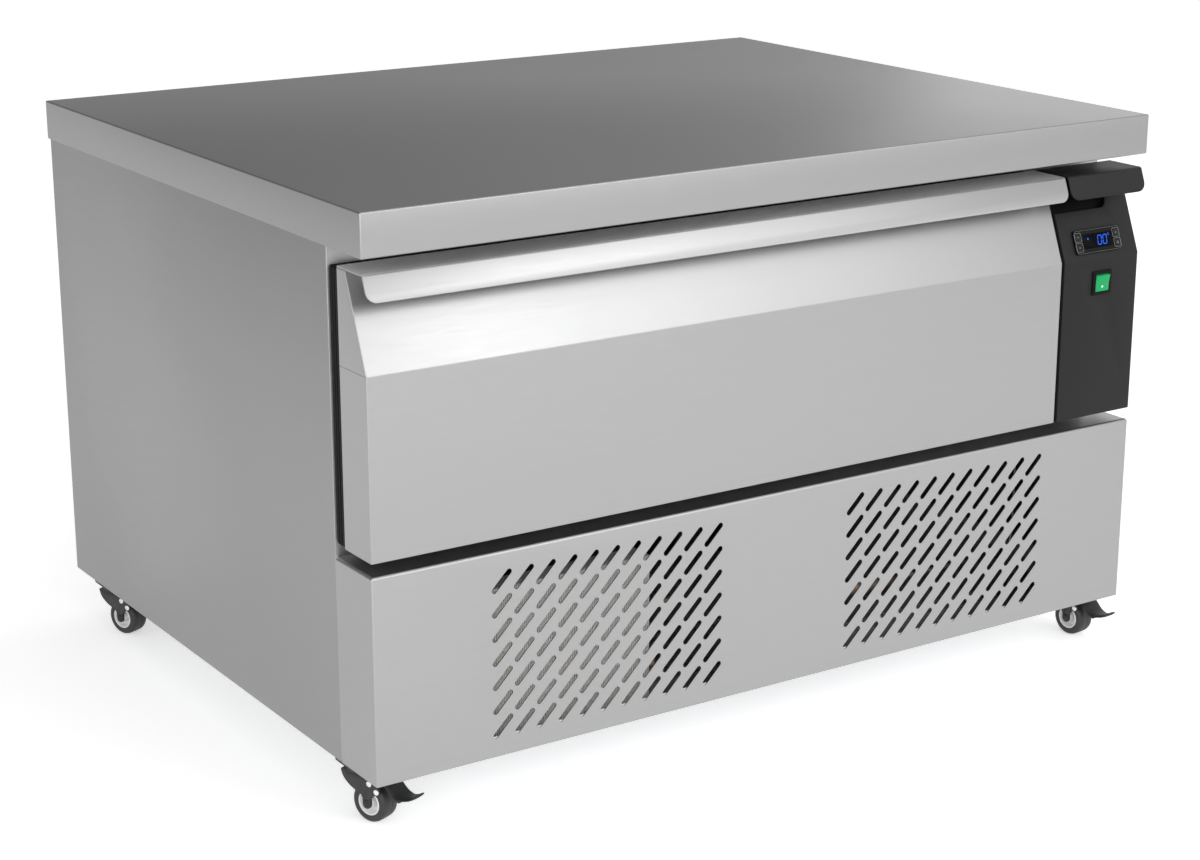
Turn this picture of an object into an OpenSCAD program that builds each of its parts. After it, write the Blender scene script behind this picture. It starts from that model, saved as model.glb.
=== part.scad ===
// Refrigerated chef base: a low counter fridge with one insulated drawer under a worktop.
// Millimetres. X runs to the right, Y runs to the back, Z runs up from the floor.
// The origin lies on the floor, in the middle of the overall box.

/* [Overall] */
// Width of the worktop
top_w = 900; // [860:1:1100]
// Depth of the worktop
top_d = 695; // [685:1:760]
// Height of the worktop's upper face above the floor
total_h = 570; // [560:1:620]
// Height of the worktop's folded edge
top_t = 40; // [30:1:50]
// Reach of the handle's lip in front of the worktop's edge
lip_proud = 5; // [2:0.5:12]

/* [Cabinet] */
// Inset of the cabinet's sides under the worktop
side_inset = 2.5; // [1:0.5:10]
// Inset of the back panel under the worktop
back_inset = 2; // [2:0.5:10]
// Setback of the cabinet's front plane behind the worktop's edge
frame_setback = 67; // [66:0.5:80]
// Setback of the drawer's and the vented panel's faces behind the worktop's edge
face_setback = 1.5; // [0:0.5:4]
// Clear height under the cabinet
base_h = 54; // [54:0.5:70]
// Height of the vented panel in front of the machine bay
bay_h = 196; // [190:1:206]
// Thickness of the outer sheets
skin_t = 1.2; // [0.8:0.1:2]
// Thickness of the base tray
tray_t = 1.5; // [1:0.1:2.5]
// Height of the base tray's upturned edges
tray_edge_h = 18; // [10:1:18]

/* [Insulation] */
// Thickness of the foam in the sides and the back
foam_t = 30; // [24:1:36]
// Thickness of the foam under the cold space
foam_floor_t = 38; // [30:1:40]
// Thickness of the foam over the cold space
foam_roof_t = 34; // [30:1:40]
// Thickness of the inner liner
liner_t = 0.8; // [0.6:0.1:1.5]

/* [Control column] */
// Width of the black control fascia
fascia_w = 101; // [95:1:110]
// Gap between the drawer and the fascia
fascia_gap = 4; // [2:0.5:8]
// Wall of the moulded fascia
fascia_wall = 2.5; // [1.5:0.1:3.5]
// Width of the temperature controller
ctrl_w = 62; // [60:1:66]
// Height of the temperature controller along the slope
ctrl_h = 25; // [24:0.5:30]
// Width of the switch's bezel
switch_w = 26; // [24:0.5:30]
// Height of the switch's bezel
switch_h = 25; // [24:0.5:30]

/* [Drawer front] */
// Gap between the vented panel and the drawer
drawer_gap = 12; // [6:0.5:13]
// Gap between the handle's flange and the worktop
handle_gap = 14; // [8:0.5:20]
// Height of the drawer's sloping face
slope_h = 86; // [80:0.5:88]
// Set back of the sloping face at its top
slope_run = 34.5; // [28:0.5:38]
// Thickness of the drawer front
front_t = 48; // [46:0.5:52]
// Width of the rubber gasket's strip
gasket_w = 18; // [15:0.5:20]
// Thickness of the handle's sheet
handle_t = 1.5; // [1:0.1:2.5]
// Drop of the handle's lip
lip_drop = 23; // [18:0.5:28]
// Rounding of the lip's lower corners
lip_r = 10; // [4:0.5:12]

/* [Drawer frame and runners] */
// Gap behind the runners
runner_back_gap = 31.2; // [20:0.1:60]
// Height of a runner
runner_h = 42; // [38:1:44]
// Total thickness of a runner
runner_w = 15; // [14:0.5:18]
// Thickness of the runners' steel
runner_t = 1.2; // [1:0.1:1.5]
// Gap behind the drawer frame
frame_back_gap = 40; // [32:1:70]
// Width of the ledge beside each pan opening
pan_side = 35.5; // [20:0.5:45]
// Width of the bar between the two pans
pan_bar_w = 18; // [12:1:20]
// Thickness of the drawer frame's sheet
rail_t = 1.5; // [1:0.1:2.5]

/* [Vents] */
// Distance between neighbouring vent slots
slot_pitch = 23.2; // [22:0.1:24]
// Overall length of a vent slot
slot_len = 27.5; // [20:0.5:28.5]
// Width of a vent slot
slot_w = 5.5; // [3:0.5:6.5]
// Slots in one row of a vent field
slot_cols = 11; // [4:1:12]
// Rows in one vent field
slot_rows = 7; // [3:1:7]
// Distance of a vent field's middle from the cabinet's middle
field_x = 201; // [170:1:230]

/* [Castors] */
// Diameter of a wheel
wheel_d = 38; // [34:0.5:38]
// Width of a wheel
wheel_w = 20; // [14:0.5:21]
// Distance of the axle from the swivel's axis
trail = 15; // [12:0.5:16]
// Side of a castor's mounting plate
plate_w = 35; // [34:0.5:40]
// Distance of the front swivels behind the front face
castor_front = 61.5; // [60:0.5:90]
// Distance of the rear swivels in front of the back panel
castor_rear = 68; // [40:1:90]
// Turn of the left castors, away from pointing forwards
turn_left = 22.7; // [-45:0.1:45]
// Turn of the right castors, away from pointing forwards
turn_right = 5.7; // [-45:0.1:45]

/* [Cooling machine] */
// Diameter of the compressor's shell
comp_d = 150; // [120:1:156]
// Height of the compressor's straight wall
comp_wall_h = 96; // [60:1:96]
// Width of the condenser's finned block
cond_w = 196; // [170:1:206]
// Height of the condenser's finned block
cond_h = 148; // [145:1:152]
// Depth of the condenser's finned block
cond_d = 26; // [20:1:28]
// Diameter of the condenser fan
cond_fan_d = 128; // [110:1:130]
// Outer diameter of the copper pipes
pipe_d = 8; // [6:0.5:9]

/* [Hidden] */
$fn = 48;
// Overrun of cutting tools past the faces that they cut
over = 2;
// Gap between pieces that lie together and move apart
seat = 0.3;
// Radial clearance of a shaft in its hole
run_fit = 0.05;

// Heights and planes of the cabinet
overall_d = top_d + lip_proud;
lip_y = -overall_d / 2;
top_front = lip_y + lip_proud;
top_back = overall_d / 2;
top_under = total_h - top_t;
body_x = top_w / 2 - side_inset;
body_in = body_x - skin_t;
body_back = top_back - back_inset;
back_in = body_back - skin_t;
frame_y = top_front + frame_setback;
frame_in = frame_y + skin_t;
face_y = top_front + face_setback;
bay_top = base_h + bay_h;
floor_top = bay_top + skin_t;
tray_top = base_h + tray_t;
foam_top = top_under - skin_t;

// Inner faces of the cold space
liner_x = body_in - foam_t - liner_t;
liner_back = back_in - foam_t - liner_t;
liner_bottom = floor_top + foam_floor_t + liner_t;
liner_top = foam_top - foam_roof_t - liner_t;

// Outline of the drawer front
drawer_side_inset = 0.5;
drawer_left = -body_x + drawer_side_inset;
drawer_right = body_x - fascia_w - fascia_gap;
drawer_bottom = bay_top + drawer_gap;
drawer_top = top_under - handle_gap - handle_t;
kink_z = drawer_top - slope_h;
drawer_back = face_y + front_t;
slope_a = atan(slope_run / slope_h);
gasket_inset = 6;
gasket_lap = 1;

// The drawer's space, between the liner's left wall and the evaporator's cover
space_left = -liner_x;
space_right = drawer_right - gasket_inset - gasket_w - gasket_lap;

// A box between two opposite corners
module block(low, high) {
    translate(low) cube(high - low);
}

// A profile in the plane of Y and Z, drawn out along X
module along_x(x0, x1) {
    translate([x0, 0, 0])
        rotate([90, 0, 90])
            linear_extrude(x1 - x0)
                children();
}

// A cylinder along X that starts at x0
module rod_x(x0, x1, y, z, d) {
    translate([x0, y, z])
        rotate([0, 90, 0])
            cylinder(d = d, h = x1 - x0);
}

// A cylinder along Y that starts at y0
module rod_y(x, y0, y1, z, d) {
    translate([x, y0, z])
        rotate([-90, 0, 0])
            cylinder(d = d, h = y1 - y0);
}

// A flat bar with round ends, centred at the origin, that stands through the XY plane
module slot_tool(len, wide, thick) {
    half = (len - wide) / 2;
    translate([-half, -wide / 2, 0]) cube([half + half, wide, thick]);
    for (side = [-1, 1])
        translate([side * half, 0, 0])
            cylinder(d = wide, h = thick, $fn = 24);
}

// The front's cross-section: upright face, sloping face and flat top, drawn in by a wall
function front_profile(inset, back) = [
    [back, drawer_bottom + inset],
    [face_y + inset, drawer_bottom + inset],
    [face_y + inset, kink_z - inset * tan(slope_a / 2)],
    [face_y + slope_run - inset * tan(slope_a) + inset / cos(slope_a), drawer_top - inset],
    [back, drawer_top - inset]
];

// The grip: a flat flange on top of the front, and a lip that hangs parallel to the slope
fold_y = lip_y + lip_drop * tan(slope_a);
lip_z = drawer_top + handle_t - lip_drop;
lip_steps = 8;
module lip_corner() {
    translate([0, lip_y, lip_z])
        rotate([90 - slope_a, 0, 0])
            translate([0, 0, -handle_t - over])
                linear_extrude(handle_t + 2 * over)
                    polygon(concat(
                        [[-over, -over], [lip_r, -over]],
                        [for (k = [0 : lip_steps])
                            lip_r * [1 - sin(k * 90 / lip_steps), 1 - cos(k * 90 / lip_steps)]],
                        [[-over, lip_r]]
                    ));
}
module grip(x0, x1) difference() {
    along_x(x0, x1) polygon([
        [drawer_back, drawer_top + handle_t],
        [fold_y, drawer_top + handle_t],
        [lip_y, lip_z],
        [lip_y + handle_t * cos(slope_a), lip_z - handle_t * sin(slope_a)],
        [lip_y + (drawer_top - lip_z) * tan(slope_a) + handle_t / cos(slope_a), drawer_top],
        [drawer_back, drawer_top]
    ]);
    translate([x0, 0, 0]) lip_corner();
    translate([x1, 0, 0]) mirror([1, 0, 0]) lip_corner();
}

// Worktop: a folded stainless tray, open below between its return flanges
return_w = 25;
return_front = frame_setback + skin_t + seat;
module worktop() color([0.72, 0.72, 0.73]) difference() {
    block([-top_w / 2, top_front, top_under], [top_w / 2, top_back, total_h]);
    block([-top_w / 2 + skin_t, top_front + skin_t, top_under + skin_t],
          [top_w / 2 - skin_t, top_back - skin_t, total_h - skin_t]);
    block([-top_w / 2 + return_w, top_front + return_front, top_under - over],
          [top_w / 2 - return_w, top_back - return_w, top_under + top_t / 2]);
}

// Board that fills the worktop and keeps it from drumming
module worktop_core() color([0.62, 0.48, 0.32])
    block([-top_w / 2 + skin_t, top_front + skin_t, top_under + skin_t],
          [top_w / 2 - skin_t, top_back - skin_t, total_h - skin_t]);

// Side panels: an outer sheet, folded in at the top and, in the machine bay, at the back
side_flange_w = 20;
cover_screw_d = 4;
cover_screw_in = 10;
cover_screw_zs = [tray_top + tray_edge_h + cover_screw_in, bay_top - cover_screw_in];
module side_panel() {
    block([-body_x, frame_in, base_h], [-body_in, body_back, top_under]);
    block([-body_in, frame_in, foam_top], [-body_in + side_flange_w, back_in, top_under]);
    difference() {
        block([-body_in, back_in - skin_t, tray_top + tray_edge_h],
              [-body_in + side_flange_w, back_in, bay_top]);
        for (z = cover_screw_zs)
            rod_y(-body_in + cover_screw_in, back_in - over, back_in + over, z,
                  cover_screw_d + 2 * run_fit);
    }
}
module side_panel_left() color([0.66, 0.66, 0.67]) side_panel();
module side_panel_right() color([0.66, 0.66, 0.67]) mirror([1, 0, 0]) side_panel();

// Back panel with air slots for the machine bay and the cut-out of the mains inlet
box_in = 46.3;
box_w = 160;
inlet_gap = 50;
box_x0 = -body_in + box_in;
box_x1 = box_x0 + box_w;
inlet_x = box_x1 + inlet_gap;
inlet_z = base_h + bay_h / 3;
inlet_w = 27;
inlet_h = 20;
back_slot_len = 90;
back_slot_w = 6;
back_slot_pitch = 16;
back_slot_rows = 6;
comp_share = 0.24647;
comp_x = body_in * comp_share;
back_slot_x = comp_x;
back_slot_z = base_h + bay_h / 2;
module back_panel() color([0.6, 0.6, 0.61]) difference() {
    block([-body_in, back_in, base_h], [body_in, body_back, top_under]);
    for (field = [0 : 2], row = [0 : back_slot_rows - 1])
        translate([field * back_slot_x, body_back + over,
                   back_slot_z + (row - (back_slot_rows - 1) / 2) * back_slot_pitch])
            rotate([90, 0, 0])
                slot_tool(back_slot_len, back_slot_w, skin_t + 2 * over);
    block([inlet_x - inlet_w / 2 - seat, back_in - over, inlet_z - inlet_h / 2 - seat],
          [inlet_x + inlet_w / 2 + seat, body_back + over, inlet_z + inlet_h / 2 + seat]);
    for (x = [-body_in + cover_screw_in, body_in - cover_screw_in], z = cover_screw_zs)
        rod_y(x, back_in - over, body_back + over, z, cover_screw_d + 2 * run_fit);
}

// Castors stand in the corners: place and turn of each swivel
castor_x = body_x - plate_w / 2;
castor_front_y = face_y + castor_front;
castor_rear_y = body_back - castor_rear;
castor_spots = [
    [-castor_x, castor_front_y, turn_left],
    [castor_x, castor_front_y, turn_right],
    [-castor_x, castor_rear_y, turn_left],
    [castor_x, castor_rear_y, turn_right]
];
plate_screw_d = 4;
plate_screw_in = 6.6;
plate_screw_reach = plate_w / 2 - plate_screw_in;
module at_plate_screws() {
    for (spot = castor_spots, sx = [-1, 1], sy = [-1, 1])
        translate([spot.x + sx * plate_screw_reach, spot.y + sy * plate_screw_reach, 0])
            children();
}

// Base tray: the floor of the machine bay, with upturned edges, which carries the castors
module base_tray() color([0.55, 0.56, 0.57]) difference() {
    union() {
        block([-body_in, face_y + skin_t, base_h], [body_in, back_in, tray_top]);
        block([-body_in, face_y + skin_t, base_h],
              [body_in, face_y + skin_t + tray_t, tray_top + tray_edge_h]);
        block([-body_in, back_in - tray_t, base_h], [body_in, back_in, tray_top + tray_edge_h]);
        for (x = [-body_in, body_in - tray_t])
            block([x, frame_in, base_h], [x + tray_t, back_in, tray_top + tray_edge_h]);
    }
    at_plate_screws()
        translate([0, 0, base_h - over])
            cylinder(d = plate_screw_d + 2 * run_fit, h = tray_t + 2 * over);
}

// Floor of the cold cabinet and roof of the machine bay, with holes for pipes and drain
pipe_hole_d = 34;
pipe_in = 43.5;
pipe_x = liner_x - pipe_in;
drain_d = 16;
drain_x = pipe_x;
drain_in = 86;
drain_y = liner_back - drain_in;
comp_in = 256;
comp_y = liner_back - comp_in;
module floor_holes(z0, z1) {
    translate([pipe_x, comp_y, z0]) cylinder(d = pipe_hole_d, h = z1 - z0);
    translate([drain_x, drain_y, z0]) cylinder(d = drain_d + 2 * run_fit, h = z1 - z0);
}
module cabinet_floor() color([0.55, 0.56, 0.57]) difference() {
    block([-body_in, frame_in, bay_top], [body_in, back_in, floor_top]);
    floor_holes(bay_top - over, floor_top + over);
}

// Foam in the walls, and the block that closes the cold space behind the control column
plug_t = 40;
cover_t = 1;
module insulation() color([0.93, 0.88, 0.66]) {
    difference() {
        block([-body_in, frame_in, floor_top], [body_in, back_in, foam_top]);
        block([-liner_x - liner_t, frame_in - over, liner_bottom - liner_t],
              [liner_x + liner_t, liner_back + liner_t, liner_top + liner_t]);
        floor_holes(floor_top - over, liner_bottom + over);
    }
    block([space_right + cover_t, frame_in, liner_bottom],
          [liner_x, frame_in + plug_t, liner_top]);
}

// Inner liner: a five-sided box, open to the front, with a drain spout in its floor
drain_wall = 1.5;
drain_drop = 12;
module inner_liner() color([0.78, 0.78, 0.79]) difference() {
    union() {
        block([-liner_x - liner_t, frame_in, liner_bottom - liner_t],
              [liner_x + liner_t, liner_back + liner_t, liner_top + liner_t]);
        translate([drain_x, drain_y, bay_top - drain_drop])
            cylinder(d = drain_d, h = liner_bottom - bay_top + drain_drop);
    }
    block([-liner_x, frame_in - over, liner_bottom], [liner_x, liner_back, liner_top]);
    translate([drain_x, drain_y, bay_top - drain_drop - over])
        cylinder(d = drain_d - 2 * drain_wall, h = liner_bottom - bay_top + drain_drop + 2 * over);
    translate([pipe_x, comp_y, liner_bottom - liner_t - over])
        cylinder(d = pipe_hole_d, h = liner_t + 2 * over);
}

// Front frame: the stainless face around the drawer's opening and the machine bay
bay_frame_side = 22;
bay_frame_low = 12;
bay_frame_high = 15;
module front_frame() color([0.7, 0.7, 0.71]) difference() {
    block([-body_x, frame_y, tray_top], [body_x, frame_in, top_under]);
    block([space_left, frame_y - over, liner_bottom], [space_right, frame_in + over, liner_top]);
    block([-body_in + bay_frame_side, frame_y - over, tray_top + bay_frame_low],
          [body_in - bay_frame_side, frame_in + over, bay_top - bay_frame_high]);
}

// Vented panel: front, two short sides and a ledge, with two fields of slanted slots
field_z = base_h + bay_h / 2;
slot_turn = 45;
module vent_field(middle_x) {
    for (col = [0 : slot_cols - 1], row = [0 : slot_rows - 1])
        translate([middle_x + (col - (slot_cols - 1) / 2) * slot_pitch,
                   face_y + skin_t + over,
                   field_z + (row - (slot_rows - 1) / 2) * slot_pitch])
            rotate([90, 0, 0])
                rotate([0, 0, slot_turn])
                    slot_tool(slot_len, slot_w, skin_t + 2 * over);
}
module vented_panel() color([0.74, 0.74, 0.75]) {
    difference() {
        block([-body_x, face_y, base_h], [body_x, face_y + skin_t, bay_top]);
        vent_field(-field_x);
        vent_field(field_x);
    }
    for (x = [-body_x, body_in])
        block([x, face_y + skin_t, base_h], [x + skin_t, frame_y, bay_top]);
    block([-body_in, face_y + skin_t, bay_top - skin_t], [body_in, frame_y, bay_top]);
}

// Where the controller sits on the sloping face, and the switch on the upright one
fascia_left = body_x - fascia_w;
fascia_mid = body_x - fascia_w / 2;
ctrl_shift = -3;
ctrl_up = 18;
switch_down = 26;
switch_shift = 1;
ctrl_depth = 36;
ctrl_side_lap = 3;
ctrl_top_lap = 2.5;
bezel_t = 2.6;
module at_controller() {
    translate([fascia_mid + ctrl_shift, face_y + ctrl_up * sin(slope_a),
               kink_z + ctrl_up * cos(slope_a)])
        rotate([90 - slope_a, 0, 0])
            children();
}
module at_switch() {
    translate([fascia_mid + switch_shift, face_y, kink_z - switch_down])
        rotate([90, 0, 0])
            children();
}

// A plate centred on the local Z axis between two heights
module pad(wide, high, z0, z1) {
    translate([-wide / 2, -high / 2, z0]) cube([wide, high, z1 - z0]);
}

// Control fascia: one black moulding with its own grip, and a neck that meets the frame
neck_inset = gasket_inset;
switch_side_lap = 2;
module fascia_shell() difference() {
    union() {
        along_x(fascia_left, body_x) polygon(front_profile(0, drawer_back));
        block([fascia_left + neck_inset, drawer_back - fascia_wall, drawer_bottom + neck_inset],
              [body_x - neck_inset, frame_y, drawer_top - neck_inset]);
    }
    along_x(fascia_left + fascia_wall, body_x - fascia_wall)
        polygon(front_profile(fascia_wall, drawer_back - fascia_wall));
    block([fascia_left + neck_inset + fascia_wall, drawer_back - fascia_wall - over,
           drawer_bottom + neck_inset + fascia_wall],
          [body_x - neck_inset - fascia_wall, frame_y + over,
           drawer_top - neck_inset - fascia_wall]);
}

// Finger recess in the slope under the fascia's lip, open towards the drawer
recess_low = 50.5;
recess_w = 62.5;
recess_cant = 8.5;
recess_depth = 8;
slope_len = slope_h / cos(slope_a);
module finger_recess(wall, left, front) {
    translate([fascia_left, face_y, kink_z])
        rotate([90 - slope_a, 0, 0])
            translate([0, 0, -recess_depth - wall])
                linear_extrude(recess_depth + wall + front)
                    polygon([
                        [left, recess_low - wall],
                        [recess_w + wall, recess_low - wall],
                        [recess_w + recess_cant + wall, recess_low + recess_cant - wall],
                        [recess_w + recess_cant + wall, slope_len - 2 * fascia_wall + wall],
                        [left, slope_len - 2 * fascia_wall + wall]
                    ]);
}
module control_fascia() color([0.13, 0.13, 0.14]) {
    difference() {
        union() {
            fascia_shell();
            finger_recess(fascia_wall, fascia_wall / 2, -fascia_wall / 2);
        }
        finger_recess(0, -over, over);
        at_controller()
            pad(ctrl_w - 2 * ctrl_side_lap + 2 * seat, ctrl_h - 2 * ctrl_top_lap + 2 * seat,
                -ctrl_depth, over);
        at_switch()
            pad(switch_w - 2 * switch_side_lap + 2 * seat,
                switch_h - 2 * switch_side_lap + 2 * seat, -front_t / 2, over);
    }
    grip(fascia_left, body_x);
}

// Temperature controller: bezel and body, with a pocket for the window and four button wells
window_w = 41;
window_h = 15;
window_t = 1;
button_w = 7;
button_h = 8;
button_gap = 0.2;
button_press = 0.8;
button_proud = 0.3;
well_floor = 0.3;
button_low = well_floor + button_press + seat;
button_x = 26;
button_y = 5.2;
button_spots = [
    [-button_x, button_y],
    [-button_x, -button_y],
    [button_x, button_y],
    [button_x, -button_y]
];
module controller_case() color([0.09, 0.09, 0.1]) at_controller() difference() {
    union() {
        pad(ctrl_w, ctrl_h, 0, bezel_t);
        pad(ctrl_w - 2 * ctrl_side_lap, ctrl_h - 2 * ctrl_top_lap, -ctrl_depth, 0);
    }
    pad(window_w, window_h, bezel_t - window_t, bezel_t + over);
    for (spot = button_spots)
        translate(spot)
            pad(button_w + 2 * button_gap, button_h + 2 * button_gap,
                well_floor, bezel_t + over);
}
module controller_window() color([0.03, 0.03, 0.05])
    at_controller() pad(window_w, window_h, bezel_t - window_t, bezel_t);
module controller_button(i) color([0.16, 0.16, 0.17])
    at_controller()
        translate(button_spots[i])
            pad(button_w, button_h, button_low, bezel_t + button_proud);

// Rocker switch: a bezel with a well, and a rocker on two stub pins
rocker_w = 18.4;
rocker_h = 17;
rocker_well_h = 18.6;
rocker_gap = 0.2;
rocker_front = 2.6;
rocker_depth = 6;
rocker_tilt = 6;
pivot_in = 4;
pivot_d = 3;
pivot_reach = 1.2;
switch_depth = 20;
switch_bezel_t = 1.6;
switch_floor = 2;
module switch_housing() color([0.07, 0.07, 0.08]) at_switch() difference() {
    union() {
        pad(switch_w, switch_h, 0, switch_bezel_t);
        pad(switch_w - 2 * switch_side_lap, switch_h - 2 * switch_side_lap, -switch_depth, 0);
    }
    pad(rocker_w + 2 * rocker_gap, rocker_well_h, -switch_depth + switch_floor, switch_bezel_t + over);
    rod_x(-rocker_w / 2 - pivot_reach, rocker_w / 2 + pivot_reach, 0, -pivot_in,
          pivot_d + 2 * run_fit);
}
module switch_rocker() color([0.1, 0.65, 0.35]) at_switch()
    translate([0, 0, -pivot_in])
        rotate([rocker_tilt, 0, 0]) {
            pad(rocker_w, rocker_h, -rocker_depth + pivot_in, rocker_front + pivot_in);
            rod_x(-rocker_w / 2 - pivot_reach + rocker_gap, rocker_w / 2 + pivot_reach - rocker_gap,
                  0, 0, pivot_d);
        }

// Drawer front: a folded shell, its foam, its inner skin and the handle's folded strip
module drawer_front() color([0.77, 0.77, 0.78]) difference() {
    along_x(drawer_left, drawer_right) polygon(front_profile(0, drawer_back));
    along_x(drawer_left + skin_t, drawer_right - skin_t)
        polygon(front_profile(skin_t, drawer_back + over));
}
module drawer_foam() color([0.93, 0.88, 0.66])
    along_x(drawer_left + skin_t, drawer_right - skin_t)
        polygon(front_profile(skin_t, drawer_back - liner_t));
module drawer_inner_skin() color([0.75, 0.75, 0.76])
    block([drawer_left + skin_t, drawer_back - liner_t, drawer_bottom + skin_t],
          [drawer_right - skin_t, drawer_back, drawer_top - skin_t]);
module drawer_handle() color([0.8, 0.8, 0.81]) grip(drawer_left, drawer_right);

// Gasket: a rubber ring on the drawer's back that closes on the front frame
module drawer_gasket() color([0.08, 0.08, 0.08]) difference() {
    block([drawer_left + gasket_inset, drawer_back, drawer_bottom + gasket_inset],
          [drawer_right - gasket_inset, frame_y - seat, drawer_top - gasket_inset]);
    block([drawer_left + gasket_inset + gasket_w, drawer_back - over,
           drawer_bottom + gasket_inset + gasket_w],
          [drawer_right - gasket_inset - gasket_w, frame_y + over,
           drawer_top - gasket_inset - gasket_w]);
}

// Drawer frame: a ledge for two food pans, with a skirt that the runners hold
rail_drop = 16;
rail_h = 38;
rail_top = liner_top - rail_drop;
rail_left = space_left + runner_w;
rail_right = space_right - runner_w;
rail_mid = (rail_left + rail_right) / 2;
pan_front_margin = 42.5;
pan_back_margin = 17;
pan_y = drawer_back + pan_front_margin;
rail_back = liner_back - frame_back_gap;
pan_d = rail_back - pan_back_margin - pan_y;
pan_w = (rail_right - rail_left - pan_bar_w) / 2 - pan_side;
bar_h = 12;
module drawer_frame() color([0.72, 0.72, 0.73]) {
    difference() {
        block([rail_left, drawer_back, rail_top - rail_h], [rail_right, rail_back, rail_top]);
        block([rail_left + rail_t, drawer_back + rail_t, rail_top - rail_h - over],
              [rail_right - rail_t, rail_back - rail_t, rail_top - rail_t]);
        for (x = [rail_mid - pan_bar_w / 2 - pan_w, rail_mid + pan_bar_w / 2])
            block([x, pan_y, rail_top - rail_h], [x + pan_w, pan_y + pan_d, rail_top + over]);
    }
    for (x = [rail_mid - pan_bar_w / 2, rail_mid + pan_bar_w / 2 - rail_t])
        block([x, drawer_back + rail_t, rail_top - bar_h],
              [x + rail_t, rail_back - rail_t, rail_top - rail_t]);
}

// Runners: three nested channels a side, from the wall inwards
runner_setback = 6.6;
runner_front = frame_in + runner_setback;
runner_z = rail_top - rail_h / 2;
runner_len = liner_back - runner_back_gap - runner_front;
race_gap = 0.4;
outer_depth_share = 0.6;
// A channel that opens to the right, drawn along Y, with its web between two depths
module channel(web0, depth, high, flip) {
    translate([web0, runner_front, runner_z - high / 2])
        difference() {
            cube([depth, runner_len, high]);
            translate([flip ? -over : runner_t, -over, runner_t])
                cube([depth - runner_t + over, runner_len + 2 * over, high - 2 * runner_t]);
        }
}
module both_sides() {
    translate([space_left, 0, 0]) children();
    translate([space_right, 0, 0]) mirror([1, 0, 0]) children();
}
step = runner_t + race_gap;
module runner_outers() color([0.68, 0.69, 0.7]) both_sides()
    channel(0, runner_w * outer_depth_share, runner_h, false);
module runner_middles() color([0.68, 0.69, 0.7]) both_sides()
    channel(step, runner_w - 2 * step, runner_h - 2 * step, false);
module runner_inners() color([0.68, 0.69, 0.7]) both_sides()
    channel(2 * step, runner_w - 2 * step, runner_h - 4 * step, true);

// Air duct over the evaporator: a sheet with the fan's hole and return slots
evap_in = 158;
evap_y = frame_y + evap_in;
liner_h = liner_top - liner_bottom;
evap_share = 1 / 3;
evap_z = liner_bottom + liner_h * evap_share;
evap_fan_share = 0.49;
evap_fan_d = liner_h * evap_fan_share;
fan_gap = 3;
return_slot_share = 0.294;
return_slot_len = liner_h * return_slot_share;
return_slot_w = 8;
return_slots = 6;
return_pitch = 34;
coil_gap = 30;
coil_y0 = comp_y + coil_gap;
return_y0 = coil_y0;
module evaporator_cover() color([0.75, 0.75, 0.76]) difference() {
    block([space_right, frame_in, liner_bottom], [space_right + cover_t, liner_back, liner_top]);
    rod_x(space_right - over, space_right + cover_t + over, evap_y, evap_z,
          evap_fan_d + 2 * fan_gap);
    for (i = [0 : return_slots - 1])
        translate([space_right - over, return_y0 + i * return_pitch, evap_z])
            rotate([90, 0, 90])
                rotate([0, 0, 90])
                    slot_tool(return_slot_len, return_slot_w, cover_t + 2 * over);
}

// Evaporator: two end plates, a finned block and the hairpin ends of its tubes
coil_len = 200;
coil_y1 = coil_y0 + coil_len;
coil_plate_t = 1.5;
coil_in = 18;
coil_w = 62;
coil_low_share = 0.07;
coil_high_share = 0.7;
coil_low = liner_h * coil_low_share;
coil_high = liner_h * coil_high_share;
hairpin_d = 9;
hairpin_share = 0.22;
module hairpin_y(x, y, z, rise) {
    translate([x, y, z])
        rotate([0, 90, 0])
            rotate_extrude(angle = 180)
                translate([rise / 2, 0, 0])
                    circle(d = hairpin_d, $fn = 24);
}
module evaporator_coil() color([0.75, 0.77, 0.8]) {
    low = liner_bottom + coil_low;
    high = liner_bottom + coil_high;
    rise = (high - low) * hairpin_share;
    x0 = space_right + cover_t;
    for (y = [coil_y0, coil_y1 - coil_plate_t])
        block([x0, y, low], [x0 + coil_in + coil_w, y + coil_plate_t, high]);
    block([x0 + coil_in, coil_y0 + coil_plate_t, low],
          [x0 + coil_in + coil_w, coil_y1 - coil_plate_t, high]);
    for (row = [0, 1])
        hairpin_y(x0 + coil_in + coil_w / 2, coil_y1, low + (1 + 2 * row) * rise, rise);
}

// Axial fan with flat, pitched blades, a hub and a blind bore for the motor's shaft, along Z
blade_count = 5;
blade_pitch = 28;
blade_t = 1.6;
blade_lap = 1.5;
shaft_d = 5;
hub_share = 0.34;
chord_share = 0.34;
hub_len = 16;
module axial_fan(d) {
    hub_d = d * hub_share;
    difference() {
        union() {
            translate([0, 0, -hub_len / 2]) cylinder(d = hub_d, h = hub_len);
            for (i = [0 : blade_count - 1])
                rotate([0, 0, i * 360 / blade_count])
                    rotate([blade_pitch, 0, 0])
                        translate([hub_d / 2 - blade_lap, -d * chord_share / 2, -blade_t / 2])
                            cube([d / 2 - hub_d / 2 + blade_lap - fan_gap, d * chord_share, blade_t]);
        }
        translate([0, 0, -hub_len / 2 - over])
            cylinder(d = shaft_d + 2 * run_fit, h = hub_len);
    }
}

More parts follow.
